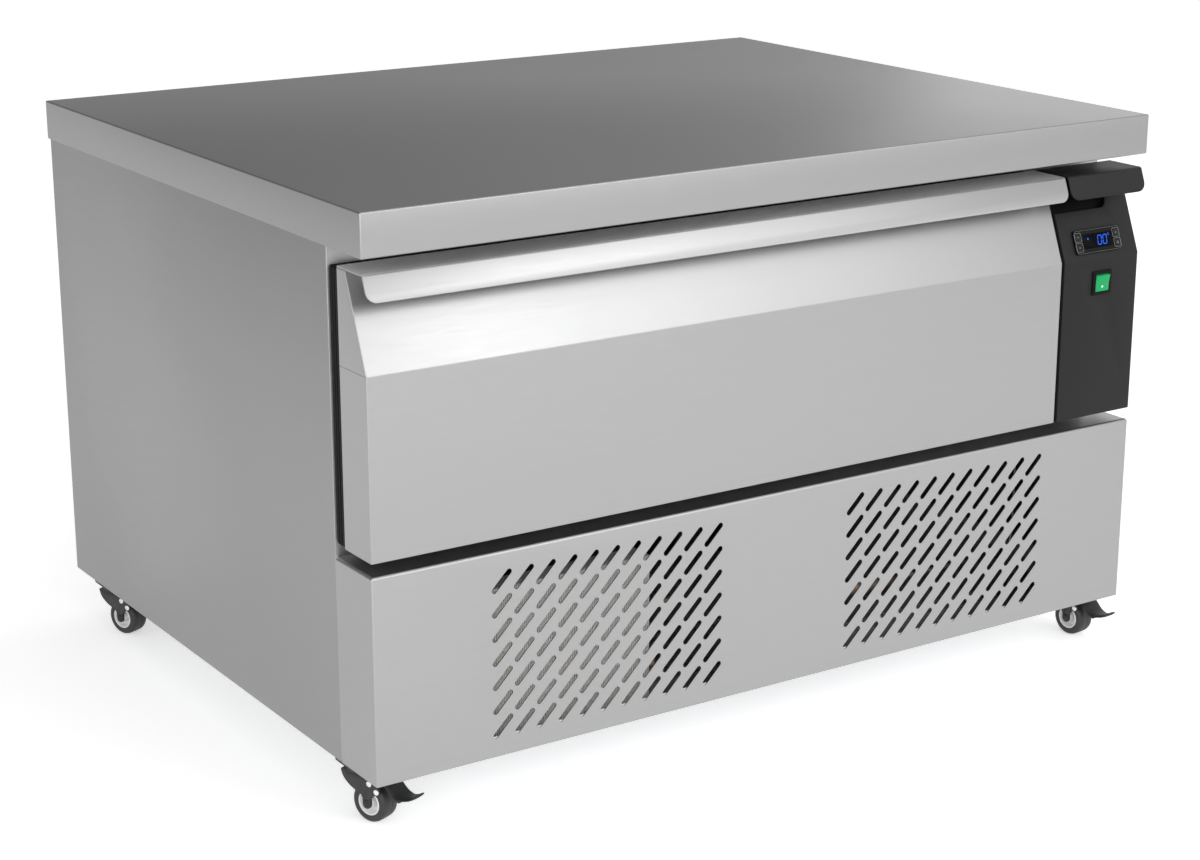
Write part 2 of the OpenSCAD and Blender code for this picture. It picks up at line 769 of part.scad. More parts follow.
// Fan motor along Z: a can, a shaft towards +Z and a spider that reaches a plate at height top
motor_len = 26;
arm_w = 7;
arm_t = 2;
foot_d = 8;
boss_gap = 1;
can_share = 0.38;
module fan_motor(fan_d, shaft_to, foot_r, plate_z) {
    can_d = fan_d * can_share;
    translate([0, 0, -motor_len]) cylinder(d = can_d, h = motor_len);
    cylinder(d = shaft_d, h = shaft_to);
    for (i = [0 : 3])
        rotate([0, 0, 45 + 90 * i]) {
            translate([0, -arm_w / 2, -motor_len]) cube([foot_r, arm_w, arm_t]);
            translate([foot_r, 0, -motor_len]) cylinder(d = foot_d, h = plate_z + motor_len);
        }
}

// Condenser with its duct and fan, in front of the frame, behind the left vents
cond_back = frame_y - 2 * skin_t;
duct_t = 1.2;
duct_d = 12;
cond_y = cond_back - duct_d - cond_d;
cond_share = 0.53776;
cond_x = -body_in * cond_share;
cond_plate_t = 1.5;
cond_z = tray_top + cond_h / 2 + coil_plate_t;
module condenser_coil() color([0.72, 0.72, 0.71]) {
    low = tray_top;
    high = cond_z + cond_h / 2;
    rise = cond_h * hairpin_share;
    for (x = [cond_x - cond_w / 2 - cond_plate_t, cond_x + cond_w / 2])
        block([x, cond_y, low], [x + cond_plate_t, cond_y + cond_d, high]);
    block([cond_x - cond_w / 2, cond_y, cond_z - cond_h / 2],
          [cond_x + cond_w / 2, cond_y + cond_d, high]);
    for (row = [0, 1])
        translate([cond_x - cond_w / 2 - cond_plate_t, cond_y + cond_d / 2,
                   low + (1 + 2 * row) * rise])
            rotate([0, 0, 90])
                hairpin_y(0, 0, 0, rise);
}
module fan_shroud() color([0.25, 0.25, 0.26]) difference() {
    block([cond_x - cond_w / 2 - cond_plate_t, cond_y + cond_d, tray_top],
          [cond_x + cond_w / 2 + cond_plate_t, cond_back, cond_z + cond_h / 2]);
    block([cond_x - cond_w / 2, cond_y + cond_d - over, tray_top + duct_t],
          [cond_x + cond_w / 2, cond_back - duct_t, cond_z + cond_h / 2 - duct_t]);
    rod_y(cond_x, cond_back - over - duct_t, cond_back + over, cond_z, cond_fan_d + 2 * fan_gap);
}

// Fans: the condenser's blows to the back, the evaporator's blows into the drawer's space
cond_fan_y = cond_back;
cond_motor_y = cond_fan_y + hub_len / 2 + boss_gap;
cond_foot_r = cond_fan_d / 2 + fan_gap + foot_d / 2 + fan_gap;
module condenser_fan() color([0.12, 0.12, 0.13])
    translate([cond_x, cond_fan_y, cond_z]) rotate([90, 0, 0]) axial_fan(cond_fan_d);
evap_fan_x = space_right + hub_len / 2 + fan_gap;
evap_motor_x = evap_fan_x + hub_len / 2 + boss_gap;
evap_foot_r = evap_fan_d / 2 + fan_gap + foot_d / 2 + fan_gap;
module evaporator_fan() color([0.12, 0.12, 0.13])
    translate([evap_fan_x, evap_y, evap_z]) rotate([0, -90, 0]) axial_fan(evap_fan_d);
shaft_in = 4;
module fan_motors() color([0.3, 0.3, 0.31]) {
    translate([cond_x, cond_motor_y, cond_z])
        rotate([90, 0, 0])
            fan_motor(cond_fan_d, boss_gap + hub_len - shaft_in, cond_foot_r, cond_motor_y - cond_back);
    translate([evap_motor_x, evap_y, evap_z])
        rotate([0, -90, 0])
            fan_motor(evap_fan_d, boss_gap + hub_len - shaft_in, evap_foot_r,
                      evap_motor_x - space_right - cover_t);
}

// Compressor: a domed shell on a foot plate, with pipe stubs and a terminal cover
mount_h = 14;
mount_d = 26;
foot_plate_t = 2.5;
foot_plate_x = 186;
foot_plate_y = 146;
mount_in = 17;
cap_share = 0.75;
stub_len = 10;
suction_z = 130;
hot_z = 150;
terminal_w = 46;
terminal_h = 52;
terminal_d = 24;
comp_low = tray_top + mount_h + foot_plate_t;
module compressor() color([0.1, 0.1, 0.11]) {
    cap_r = comp_d * cap_share;
    cap_z = comp_low + comp_wall_h - sqrt(cap_r * cap_r - comp_d * comp_d / 4);
    translate([comp_x, comp_y, comp_low]) cylinder(d = comp_d, h = comp_wall_h);
    intersection() {
        translate([comp_x, comp_y, cap_z]) sphere(r = cap_r, $fn = 96);
        translate([comp_x, comp_y, comp_low + comp_wall_h - over])
            cylinder(d = comp_d, h = cap_r);
    }
    block([comp_x - foot_plate_x / 2, comp_y - foot_plate_y / 2, comp_low - foot_plate_t],
          [comp_x + foot_plate_x / 2, comp_y + foot_plate_y / 2, comp_low]);
    rod_x(comp_x, comp_x + comp_d / 2 + stub_len, comp_y, suction_z, pipe_d);
    rod_x(comp_x - comp_d / 2 - stub_len, comp_x, comp_y, hot_z, pipe_d);
    block([comp_x - terminal_w / 2, comp_y - comp_d / 2 - terminal_d, comp_low + foot_plate_t],
          [comp_x + terminal_w / 2, comp_y, comp_low + foot_plate_t + terminal_h]);
}
module compressor_mounts() color([0.06, 0.06, 0.06])
    for (sx = [-1, 1], sy = [-1, 1])
        translate([comp_x + sx * (foot_plate_x / 2 - mount_in),
                   comp_y + sy * (foot_plate_y / 2 - mount_in), tray_top])
            cylinder(d = mount_d, h = mount_h);

// Copper pipes along straight legs, with a brazed elbow at each turn
elbow_share = 1.25;
pipe_off = 9;
leg_x = pipe_x + pipe_off;
back_leg_x = pipe_x - pipe_off;
liquid_z = 90;
leg_drop = 25;
leg_high_z = bay_top - leg_drop;
leg_in = 28;
leg_y = frame_y + leg_in;
evap_pipe_z = liner_bottom + 3 * coil_low;
cond_pipe_y = cond_y + cond_d / 2;
cond_side_x = cond_x + cond_w / 2 + cond_plate_t;
cond_gap_x = cond_side_x + 2 * pipe_off;
hot_leg_x = cond_gap_x + 2 * pipe_off;
drier_len = 100;
drier_d = 20;
drier_gap = 10;
drier_x = comp_x + drier_gap;
module pipe_leg(a, b) {
    d = b - a;
    len = norm(d);
    translate(a)
        rotate([0, acos(d.z / len), atan2(d.y, d.x)])
            cylinder(d = pipe_d, h = len);
}
module pipe_run(points) {
    for (i = [0 : len(points) - 2]) pipe_leg(points[i], points[i + 1]);
    for (i = [1 : len(points) - 2]) translate(points[i]) sphere(d = pipe_d * elbow_share);
}
module refrigerant_pipes() color([0.75, 0.45, 0.3]) {
    pipe_run([[back_leg_x, coil_y0, evap_pipe_z], [back_leg_x, comp_y, evap_pipe_z],
              [back_leg_x, comp_y, suction_z], [comp_x + comp_d / 2 + stub_len, comp_y, suction_z]]);
    pipe_run([[leg_x, coil_y0, evap_pipe_z + 2 * coil_low], [leg_x, comp_y, evap_pipe_z + 2 * coil_low],
              [leg_x, comp_y, leg_high_z], [leg_x, leg_y, leg_high_z], [leg_x, leg_y, liquid_z],
              [cond_gap_x, leg_y, liquid_z], [cond_gap_x, cond_pipe_y, liquid_z],
              [cond_side_x, cond_pipe_y, liquid_z]]);
    pipe_run([[comp_x - comp_d / 2 - stub_len, comp_y, hot_z], [hot_leg_x, comp_y, hot_z],
              [hot_leg_x, cond_pipe_y, hot_z], [cond_side_x, cond_pipe_y, hot_z]]);
    rod_x(drier_x, drier_x + drier_len, leg_y, liquid_z, drier_d);
}

// Electrical box on the back panel, and the mains inlet in its cut-out
box_d = 70;
box_z0 = base_h + bay_h / 8;
box_h = 110;
box_wall = 2;
module electrical_box() color([0.82, 0.82, 0.8]) difference() {
    block([box_x0, back_in - box_d, box_z0], [box_x1, back_in, box_z0 + box_h]);
    block([box_x0 + box_wall, back_in - box_d + box_wall, box_z0 + box_wall],
          [box_x1 - box_wall, back_in - box_wall, box_z0 + box_h - box_wall]);
}
inlet_depth = 24;
inlet_lap = 9;
inlet_flange_t = 1.6;
inlet_wall = 2;
inlet_socket_d = 16;
inlet_pin_w = 2;
inlet_pin_h = 4;
inlet_pin_gap = 6.5;
module mains_inlet() color([0.08, 0.08, 0.08]) {
    difference() {
        union() {
            block([inlet_x - inlet_w / 2, body_back - inlet_depth, inlet_z - inlet_h / 2],
                  [inlet_x + inlet_w / 2, body_back, inlet_z + inlet_h / 2]);
            block([inlet_x - inlet_w / 2 - inlet_lap, body_back, inlet_z - inlet_h / 2 - inlet_wall],
                  [inlet_x + inlet_w / 2 + inlet_lap, body_back + inlet_flange_t,
                   inlet_z + inlet_h / 2 + inlet_wall]);
        }
        block([inlet_x - inlet_w / 2 + inlet_wall, body_back - inlet_socket_d,
               inlet_z - inlet_h / 2 + inlet_wall],
              [inlet_x + inlet_w / 2 - inlet_wall, body_back + inlet_flange_t + over,
               inlet_z + inlet_h / 2 - inlet_wall]);
    }
    for (i = [-1, 0, 1])
        block([inlet_x + i * inlet_pin_gap - inlet_pin_w / 2, body_back - inlet_socket_d,
               inlet_z - inlet_pin_h / 2],
              [inlet_x + i * inlet_pin_gap + inlet_pin_w / 2, body_back - inlet_wall,
               inlet_z + inlet_pin_h / 2]);
}

// Drip tray under the drain
drip_w = 80;
drip_d = 150;
drip_h = 30;
drip_wall = 2;
module drip_tray() color([0.2, 0.2, 0.21]) difference() {
    block([drain_x - drip_w / 2, drain_y - drip_d / 2, tray_top],
          [drain_x + drip_w / 2, drain_y + drip_d / 2, tray_top + drip_h]);
    block([drain_x - drip_w / 2 + drip_wall, drain_y - drip_d / 2 + drip_wall, tray_top + drip_wall],
          [drain_x + drip_w / 2 - drip_wall, drain_y + drip_d / 2 - drip_wall, tray_top + drip_h + over]);
}

// Castors, drawn at the swivel's axis with the wheel trailing towards -Y
plate_t = 2;
race_d = 24;
race_h = 2.4;
kingpin_d = 8;
crown_t = 2;
cheek_t = 1.8;
cheek_gap = 0.8;
axle_d = 6;
axle_head_d = 9;
axle_head_t = 1.4;
wheel_z = wheel_d / 2;
plate_z = base_h - plate_t;
race_z = plate_z - race_h;
crown_z = race_z - seat;
cheek_in = wheel_w / 2 + cheek_gap;
cheek_out = cheek_in + cheek_t;
module at_castor(i) {
    translate([castor_spots[i].x, castor_spots[i].y, 0])
        rotate([0, 0, castor_spots[i].z])
            children();
}
module castor_plates() color([0.3, 0.31, 0.32]) difference() {
    for (i = [0 : 3])
        translate([castor_spots[i].x, castor_spots[i].y, 0])
            difference() {
                union() {
                    block([-plate_w / 2, -plate_w / 2, plate_z], [plate_w / 2, plate_w / 2, base_h]);
                    translate([0, 0, race_z]) cylinder(d = race_d, h = race_h);
                }
                translate([0, 0, race_z - over])
                    cylinder(d = kingpin_d + 2 * run_fit, h = race_h + plate_t + 2 * over);
            }
    at_plate_screws()
        translate([0, 0, plate_z - over])
            cylinder(d = plate_screw_d + 2 * run_fit, h = plate_t + 2 * over);
}

// Fork: crown, kingpin, two cheeks with a leg to the axle, rivets and the axle itself
crown_back = 14;
crown_front = 24;
cheek_low = 9;
leg_r = 4.5;
brow_front = 30;
brow_z = wheel_z + 12;
pedal_pin_d = 4;
pedal_pin_y = -trail + 3;
pedal_pin_z = crown_z - crown_t - 3.4;
rivet_d = 5;
rivet_t = 1.2;
rivet_y = -trail - 8;
rivet_z = wheel_z + 14.5;
module cheek_outline() {
    polygon([
        [crown_back, crown_z],
        [leg_r - trail + cheek_low, wheel_z + cheek_low],
        [leg_r - trail, wheel_z + cheek_low],
        [leg_r - trail, wheel_z],
        [-leg_r - trail, wheel_z],
        [-leg_r - trail, wheel_z + cheek_low],
        [-brow_front + leg_r, brow_z],
        [-brow_front, brow_z + leg_r],
        [-crown_front, crown_z]
    ]);
}
module castor_fork(i) color([0.12, 0.12, 0.13]) at_castor(i) {
    difference() {
        union() {
            for (x = [-cheek_out, cheek_in]) {
                along_x(x, x + cheek_t) cheek_outline();
                rod_x(x, x + cheek_t, -trail, wheel_z, 2 * leg_r);
            }
            block([-cheek_out, -crown_front, crown_z - crown_t], [cheek_out, crown_back, crown_z]);
        }
        rod_x(-cheek_out - over, cheek_out + over, pedal_pin_y, pedal_pin_z, pedal_pin_d + 2 * run_fit);
    }
    translate([0, 0, crown_z]) cylinder(d = kingpin_d, h = base_h - seat - crown_z);
    rod_x(-cheek_out - axle_head_t, cheek_out + axle_head_t, -trail, wheel_z, axle_d);
    for (x = [-cheek_out - axle_head_t, cheek_out])
        rod_x(x, x + axle_head_t, -trail, wheel_z, axle_head_d);
    for (x = [-cheek_out - rivet_t, cheek_out])
        rod_x(x, x + rivet_t, rivet_y, rivet_z, rivet_d);
}

// Wheel: a rim with a web and a hub, and the tyre around it
rim_d = 24;
rim_wall = 2.4;
web_t = 5;
hub_d = 10;
tyre_round = 3;
module castor_rim(i) color([0.8, 0.8, 0.8]) at_castor(i)
    translate([0, -trail, wheel_z])
        rotate([0, 90, 0])
            difference() {
                union() {
                    difference() {
                        translate([0, 0, -wheel_w / 2]) cylinder(d = rim_d, h = wheel_w);
                        for (z = [-wheel_w / 2 - over, web_t / 2])
                            translate([0, 0, z])
                                cylinder(d = rim_d - 2 * rim_wall, h = wheel_w / 2 - web_t / 2 + over);
                    }
                    translate([0, 0, -wheel_w / 2]) cylinder(d = hub_d, h = wheel_w);
                }
                translate([0, 0, -wheel_w / 2 - over])
                    cylinder(d = axle_d + 2 * run_fit, h = wheel_w + 2 * over);
            }
module castor_tyre(i) color([0.09, 0.09, 0.1]) at_castor(i)
    translate([0, -trail, wheel_z])
        rotate([0, 90, 0])
            rotate_extrude($fn = 96)
                polygon([
                    [rim_d / 2, -wheel_w / 2],
                    [wheel_d / 2 - tyre_round, -wheel_w / 2],
                    [wheel_d / 2 - tyre_round / 3, -wheel_w / 2 + tyre_round / 3],
                    [wheel_d / 2, -wheel_w / 2 + tyre_round],
                    [wheel_d / 2, wheel_w / 2 - tyre_round],
                    [wheel_d / 2 - tyre_round / 3, wheel_w / 2 - tyre_round / 3],
                    [wheel_d / 2 - tyre_round, wheel_w / 2],
                    [rim_d / 2, wheel_w / 2]
                ]);

// Brake pedal: a tongue on a pin between the cheeks, which swings down onto the tyre
pedal_t = 2.2;
pedal_w = 2 * cheek_in - 2 * seat;
pedal_reach = 52;
pedal_top_z = pedal_pin_z + 1;
pedal_points = [
    [pedal_pin_y + pedal_pin_d / 4, pedal_top_z],
    [-crown_front - 2 * leg_r, pedal_top_z],
    [-crown_front - 17, wheel_z + 13],
    [-trail - pedal_reach + 14, wheel_z + 10],
    [-trail - pedal_reach + 5, wheel_z + 12],
    [-trail - pedal_reach, wheel_z + 17]
];
module brake_pedal(i) color([0.1, 0.1, 0.11]) at_castor(i) {
    rod_x(-cheek_out, cheek_out, pedal_pin_y, pedal_pin_z, pedal_pin_d);
    along_x(-pedal_w / 2, pedal_w / 2)
        polygon(concat(
            [for (p = pedal_points) p],
            [for (k = [len(pedal_points) - 1 : -1 : 0]) pedal_points[k] - [0, pedal_t]]
        ));
}

// Screws: those of the castor plates with their nuts, and those of the back panel
head_d = 6;
head_t = 0.8;
nut_d = 7.2;
nut_h = 3;
cover_head_t = 1.4;
cover_screw_len = 8;
module screws() color([0.75, 0.75, 0.76]) {
    at_plate_screws() {
        translate([0, 0, plate_z - head_t]) cylinder(d = head_d, h = head_t);
        translate([0, 0, plate_z]) cylinder(d = plate_screw_d, h = plate_t + tray_t + nut_h);
        translate([0, 0, tray_top]) cylinder(d = nut_d, h = nut_h, $fn = 6);
    }
    for (x = [-body_in + cover_screw_in, body_in - cover_screw_in], z = cover_screw_zs) {
        rod_y(x, body_back - cover_screw_len, body_back, z, cover_screw_d);
        rod_y(x, body_back, body_back + cover_head_t, z, head_d);
    }
}

worktop();
worktop_core();
side_panel_left();
side_panel_right();
back_panel();
base_tray();
cabinet_floor();
insulation();
inner_liner();
front_frame();
vented_panel();
control_fascia();
controller_case();
controller_window();
controller_button(0);  // controller_button_1
controller_button(1);  // controller_button_2
controller_button(2);  // controller_button_3
controller_button(3);  // controller_button_4
switch_housing();
switch_rocker();
drawer_front();
drawer_foam();
drawer_inner_skin();
drawer_handle();
drawer_gasket();
drawer_frame();
runner_outers();
runner_middles();
runner_inners();
evaporator_cover();
evaporator_coil();
evaporator_fan();
condenser_coil();
fan_shroud();
condenser_fan();
fan_motors();
compressor();
compressor_mounts();
refrigerant_pipes();
electrical_box();
mains_inlet();
drip_tray();
castor_plates();
screws();
castor_fork(0);  // fork_front_left
castor_fork(1);  // fork_front_right
castor_fork(2);  // fork_rear_left
castor_fork(3);  // fork_rear_right
castor_rim(0);  // rim_front_left
castor_rim(1);  // rim_front_right
castor_rim(2);  // rim_rear_left
castor_rim(3);  // rim_rear_right
castor_tyre(0);  // tyre_front_left
castor_tyre(1);  // tyre_front_right
castor_tyre(2);  // tyre_rear_left
castor_tyre(3);  // tyre_rear_right
brake_pedal(0);  // pedal_front_left
brake_pedal(1);  // pedal_front_right
brake_pedal(2);  // pedal_rear_left
brake_pedal(3);  // pedal_rear_right
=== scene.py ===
# %% [markdown]
# A low refrigerated base for a commercial kitchen: a steel worktop, one wide drawer with a
# sloping front, a black control column, a vented panel and four braked castors.
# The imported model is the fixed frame. Each piece below is laid over one of its nodes,
# in metres, and rides on the same body, so every joint still works.

# %% Load the frame
import math
import bpy
from mathutils import Matrix, Vector


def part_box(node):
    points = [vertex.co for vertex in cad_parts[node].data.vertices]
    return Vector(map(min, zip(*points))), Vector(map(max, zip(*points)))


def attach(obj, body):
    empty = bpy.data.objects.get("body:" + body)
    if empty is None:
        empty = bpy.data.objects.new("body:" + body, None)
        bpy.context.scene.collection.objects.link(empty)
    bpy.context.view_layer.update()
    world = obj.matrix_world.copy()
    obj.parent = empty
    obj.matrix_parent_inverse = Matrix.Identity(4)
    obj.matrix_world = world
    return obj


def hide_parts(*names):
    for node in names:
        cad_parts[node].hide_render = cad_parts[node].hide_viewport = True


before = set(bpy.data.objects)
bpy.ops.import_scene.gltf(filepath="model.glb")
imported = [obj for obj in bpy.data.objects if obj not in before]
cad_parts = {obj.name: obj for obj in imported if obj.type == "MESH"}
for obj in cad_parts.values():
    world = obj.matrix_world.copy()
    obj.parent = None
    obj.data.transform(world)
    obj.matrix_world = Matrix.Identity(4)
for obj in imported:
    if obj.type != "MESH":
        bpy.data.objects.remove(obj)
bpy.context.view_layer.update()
MM = 0.001
scene = bpy.context.scene

# %% [markdown]
# The camera comes first. It stands to the left of the front, a little above the worktop, with a
# long lens, so that the far edges hardly converge.

# %% Camera
bpy.ops.object.camera_add(location=(-1.3955, -2.14714, 0.98502),
                          rotation=(math.radians(90 - 16.53), 0, math.radians(-33.26)))
camera = bpy.context.object
camera.name = "Camera"
camera.data.lens = 75.246
camera.data.sensor_width = 36
camera.data.sensor_fit = "HORIZONTAL"
scene.camera = camera
scene.view_settings.view_transform = "Standard"
print("Camera at", tuple(round(v, 3) for v in camera.location))

# %% [markdown]
# Steel has hardly any colour of its own: it shows what stands around it. The room is bright in
# front and dim behind, as a studio is with its lamps at the camera's side, so the fronts come
# out pale and the worktop dark, and a darker tint painted on the top adds to its shade. A pale
# band at the horizon keeps the background light.

# %% Room
def feed(tree, node, inputs):
    for socket, value in inputs.items():
        if isinstance(value, bpy.types.NodeSocket):
            tree.links.new(value, node.inputs[socket])
        else:
            node.inputs[socket].default_value = value


def add(tree, kind, inputs=None, **settings):
    node = tree.nodes.new("ShaderNode" + kind)
    for key, value in settings.items():
        setattr(node, key, value)
    feed(tree, node, inputs or {})
    return node


def maths(tree, how, *values, **settings):
    return add(tree, "Math", dict(enumerate(values)), operation=how, **settings).outputs["Value"]


def ranged(tree, value, start, end, low=0.0, high=1.0, **settings):
    limits = {"From Min": start, "From Max": end, "To Min": low, "To Max": high}
    return add(tree, "MapRange", {"Value": value, **limits}, **settings).outputs["Result"]


world = bpy.data.worlds.new("room")
scene.world = world
world.use_nodes = True
tree = world.node_tree
tree.nodes.clear()
toward = add(tree, "TexCoord").outputs["Generated"]
slant = add(tree, "VectorMath", {0: toward, 1: (0.16, -0.44, 0)}, operation="DOT_PRODUCT")
height = maths(tree, "ABSOLUTE", add(tree, "SeparateXYZ", {"Vector": toward}).outputs["Z"])
band = ranged(tree, height, 0.18, 0.05, 0.60, 1.10, interpolation_type="SMOOTHSTEP")
level = maths(tree, "ADD", slant.outputs["Value"], band)
lit = add(tree, "Background", {"Color": (1, 1, 1, 1), "Strength": level})
add(tree, "OutputWorld", {"Surface": lit.outputs["Background"]})
print("Room brightness runs from 0.2 behind to 1.0 in front, with 0.5 more at the horizon")

# %% [markdown]
# Two soft lamps in front stand where the sloping face of the drawer mirrors them, more on its
# left than on its right. Weak lamps at the left, at the right and above fill in the rest.

# %% Lamps
def soft_lamp(name, spot, target, size, power):
    bpy.ops.object.light_add(type="AREA", location=spot)
    lamp = bpy.context.object
    lamp.name = name
    lamp.data.shape = "RECTANGLE"
    lamp.data.size, lamp.data.size_y = size
    lamp.data.energy = power
    aim = Vector(target) - Vector(spot)
    lamp.rotation_euler = aim.to_track_quat("-Z", "Y").to_euler()


soft_lamp("key_lamp", (1.25, -2.3, 1.52), (0, -0.2, 0.4), (1.8, 1.2), 9.9)
soft_lamp("front_lamp", (0.45, -2.7, 1.50), (0, -0.2, 0.4), (1.2, 1.0), 10.2)
soft_lamp("low_lamp", (-1.9, -2.3, 0.9), (0, 0, 0.3), (1.4, 1.0), 22)
soft_lamp("left_lamp", (-2.8, 0, 1.3), (0, 0, 0.3), (1.6, 1.4), 5)
soft_lamp("right_lamp", (2.52, 1.13, 1.2), (0, 0, 0.4), (1.8, 1.6), 6.4)
soft_lamp("top_lamp", (0.3, -0.2, 2.6), (0, 0, 0.3), (2.2, 2.0), 3.5)

# %% [markdown]
# The floor is a large pale plane. It glows a little for the camera, and for metal and glass
# too, so that they show the same white floor as the picture, while shadows still fall on it.

# %% Floor
bpy.ops.mesh.primitive_plane_add(size=60, location=(0, 0, 0))
floor = bpy.context.object
floor.name = "Floor"
pale = bpy.data.materials.new("pale_floor")
pale.use_nodes = True
tree = pale.node_tree
tree.nodes.clear()
rays = add(tree, "LightPath").outputs
seen = maths(tree, "MAXIMUM", rays["Is Camera Ray"], rays["Is Glossy Ray"])
seen = maths(tree, "MAXIMUM", seen, rays["Is Transmission Ray"])
matt = add(tree, "BsdfDiffuse", {"Color": (0.86, 0.86, 0.86, 1)})
glow = add(tree, "Emission", {"Strength": maths(tree, "MULTIPLY", seen, 0.48)})
both = add(tree, "AddShader", {0: matt.outputs["BSDF"], 1: glow.outputs["Emission"]})
add(tree, "OutputMaterial", {"Surface": both.outputs["Shader"]})
floor.data.materials.append(pale)
print("Floor:", tuple(floor.dimensions))

# %% [markdown]
# Helpers for modelling by hand. Faces, edges and points are picked in code by their place,
# because there is no mouse here, and the usual edit mode tools then work on what is picked.
# All places are in millimetres, as on the drawing, and turned to metres at the last moment.

# %% Pick and move
def only(piece):
    for other in bpy.context.selected_objects:
        other.select_set(False)
    piece.select_set(True)
    bpy.context.view_layer.objects.active = piece


def pick(piece, kind, test):
    only(piece)
    mesh = piece.data
    bpy.context.tool_settings.mesh_select_mode = [kind == k for k in ("VERT", "EDGE", "FACE")]
    for group in (mesh.vertices, mesh.edges, mesh.polygons):
        group.foreach_set("select", [False] * len(group))
    if kind == "FACE":
        for face in mesh.polygons:
            face.select = bool(test(face.center / MM, face.normal))
    elif kind == "EDGE":
        for edge in mesh.edges:
            a, b = (mesh.vertices[i].co / MM for i in edge.vertices)
            edge.select = bool(test((a + b) / 2, (b - a).normalized()))
    else:
        for point in mesh.vertices:
            point.select = bool(test(point.co / MM))
    bpy.ops.object.mode_set(mode="EDIT")


def everything(piece):
    only(piece)
    bpy.ops.object.mode_set(mode="EDIT")
    bpy.ops.mesh.select_all(action="SELECT")


def done(piece):
    bpy.ops.object.mode_set(mode="OBJECT")
    return piece


def work(piece, kind, test, tool, **values):
    pick(piece, kind, test)
    tool(**values)
    return done(piece)


def shift(piece, test, by):
    return work(piece, "VERT", test, bpy.ops.transform.translate, value=Vector(by) * MM)


def grow(piece, test, by):
    return work(piece, "FACE", test, bpy.ops.mesh.extrude_region_move,
                TRANSFORM_OT_translate={"value": Vector(by) * MM})


def pull_edges(piece, test, by):
    return work(piece, "EDGE", test, bpy.ops.mesh.extrude_edges_move,
                TRANSFORM_OT_translate={"value": Vector(by) * MM})


def fold(piece, test, radius, steps=4):
    return work(piece, "EDGE", test, bpy.ops.mesh.bevel, offset=radius * MM, segments=steps,
                affect="EDGES")


def round_corners(piece, test, radius, steps):
    return work(piece, "VERT", test, bpy.ops.mesh.bevel, offset=radius * MM, segments=steps,
                affect="VERTICES")


def place(piece, spot, turn=(0, 0, 0)):
    piece.location = Vector(spot) * MM
    piece.rotation_euler = turn
    only(piece)
    bpy.ops.object.transform_apply(location=True, rotation=True, scale=True)
    return piece


print("Picking tools ready")

# %% [markdown]
# Most pieces start as a block or a drum at its final size. Turned pieces, such as wheels and
# the compressor, start as a row of points that is spun round an axis. Pipes are a curve with
# rounded corners that gets a round section.

# %% First shapes
def made(name):
    piece = bpy.context.object
    piece.name = name
    return piece


def block(name, low, high):
    low, high = Vector(low), Vector(high)
    bpy.ops.mesh.primitive_cube_add(size=MM)
    piece = made(name)
    piece.scale = high - low
    return place(piece, (low + high) / 2)


def drum(name, a, b, d, sides=32):
    a, b = Vector(a), Vector(b)
    bpy.ops.mesh.primitive_cylinder_add(vertices=sides, radius=d / 2 * MM,
                                        depth=(b - a).length * MM)
    return place(made(name), (a + b) / 2, (b - a).to_track_quat("Z", "Y").to_euler())


def chain(name, points):
    bpy.ops.mesh.primitive_plane_add(size=MM)
    piece = made(name)
    bpy.context.tool_settings.mesh_select_mode = (True, False, False)
    bpy.ops.object.mode_set(mode="EDIT")
    bpy.ops.mesh.merge(type="CENTER")
    spots = [Vector(point) * MM for point in points]
    bpy.ops.transform.translate(value=spots[0])
    for a, b in zip(spots, spots[1:]):
        bpy.ops.mesh.extrude_vertices_move(TRANSFORM_OT_translate={"value": b - a})
    bpy.ops.mesh.select_all(action="SELECT")
    return piece


DOUBLE = 0.000005


def turned(name, outline, base, axis=(0, 0, 1), sides=64):
    piece = chain(name, [(radius, 0, height) for radius, height in outline])
    bpy.ops.mesh.spin(steps=sides, angle=2 * math.pi, center=(0, 0, 0), axis=(0, 0, 1))
    bpy.ops.mesh.select_all(action="SELECT")
    bpy.ops.mesh.remove_doubles(threshold=DOUBLE)
    bpy.ops.mesh.normals_make_consistent(inside=False)
    done(piece)
    return place(piece, base, Vector(axis).to_track_quat("Z", "Y").to_euler())


def rounded_route(points, radius, steps=6):
    points = [Vector(p) for p in points]
    route = [points[0]]
    for before, corner, after in zip(points, points[1:], points[2:]):
        start = corner + (before - corner).normalized() * radius
        end = corner + (after - corner).normalized() * radius
        for k in range(steps + 1):
            t = k / steps
            route.append(start.lerp(corner, t).lerp(corner.lerp(end, t), t))
    return route + [points[-1]]


def pipe(name, points, d, radius=12, closed=False):
    route = [Vector(p) for p in points] if closed else rounded_route(points, radius)
    curve = bpy.data.curves.new(name, "CURVE")
    curve.dimensions = "3D"
    curve.bevel_depth = d / 2 * MM
    curve.bevel_resolution = 3
    curve.use_fill_caps = True
    line = curve.splines.new("POLY")
    line.points.add(len(route) - 1)
    for point, spot in zip(line.points, route):
        point.co = (*(spot * MM), 1)
    line.use_cyclic_u = closed
    piece = bpy.data.objects.new(name, curve)
    scene.collection.objects.link(piece)
    only(piece)
    bpy.ops.object.convert(target="MESH")
    piece = bpy.context.object
    bpy.ops.object.shade_smooth_by_angle(angle=math.radians(50))
    return piece


print("First shapes ready")

# %% [markdown]
# Boolean, Solidify, Array and Bevel modifiers finish a piece, and each one is applied at once,
# so that the next step picks from the real mesh. A name and a finish come last: `dress` sets
# the material, the body that the piece rides on and the node that it replaces.

# %% Finishing
def modify(piece, kind, **settings):
    modifier = piece.modifiers.new(kind, kind)
    for key, value in settings.items():
        setattr(modifier, key, value)
    only(piece)
    bpy.ops.object.modifier_apply(modifier=modifier.name)
    return piece


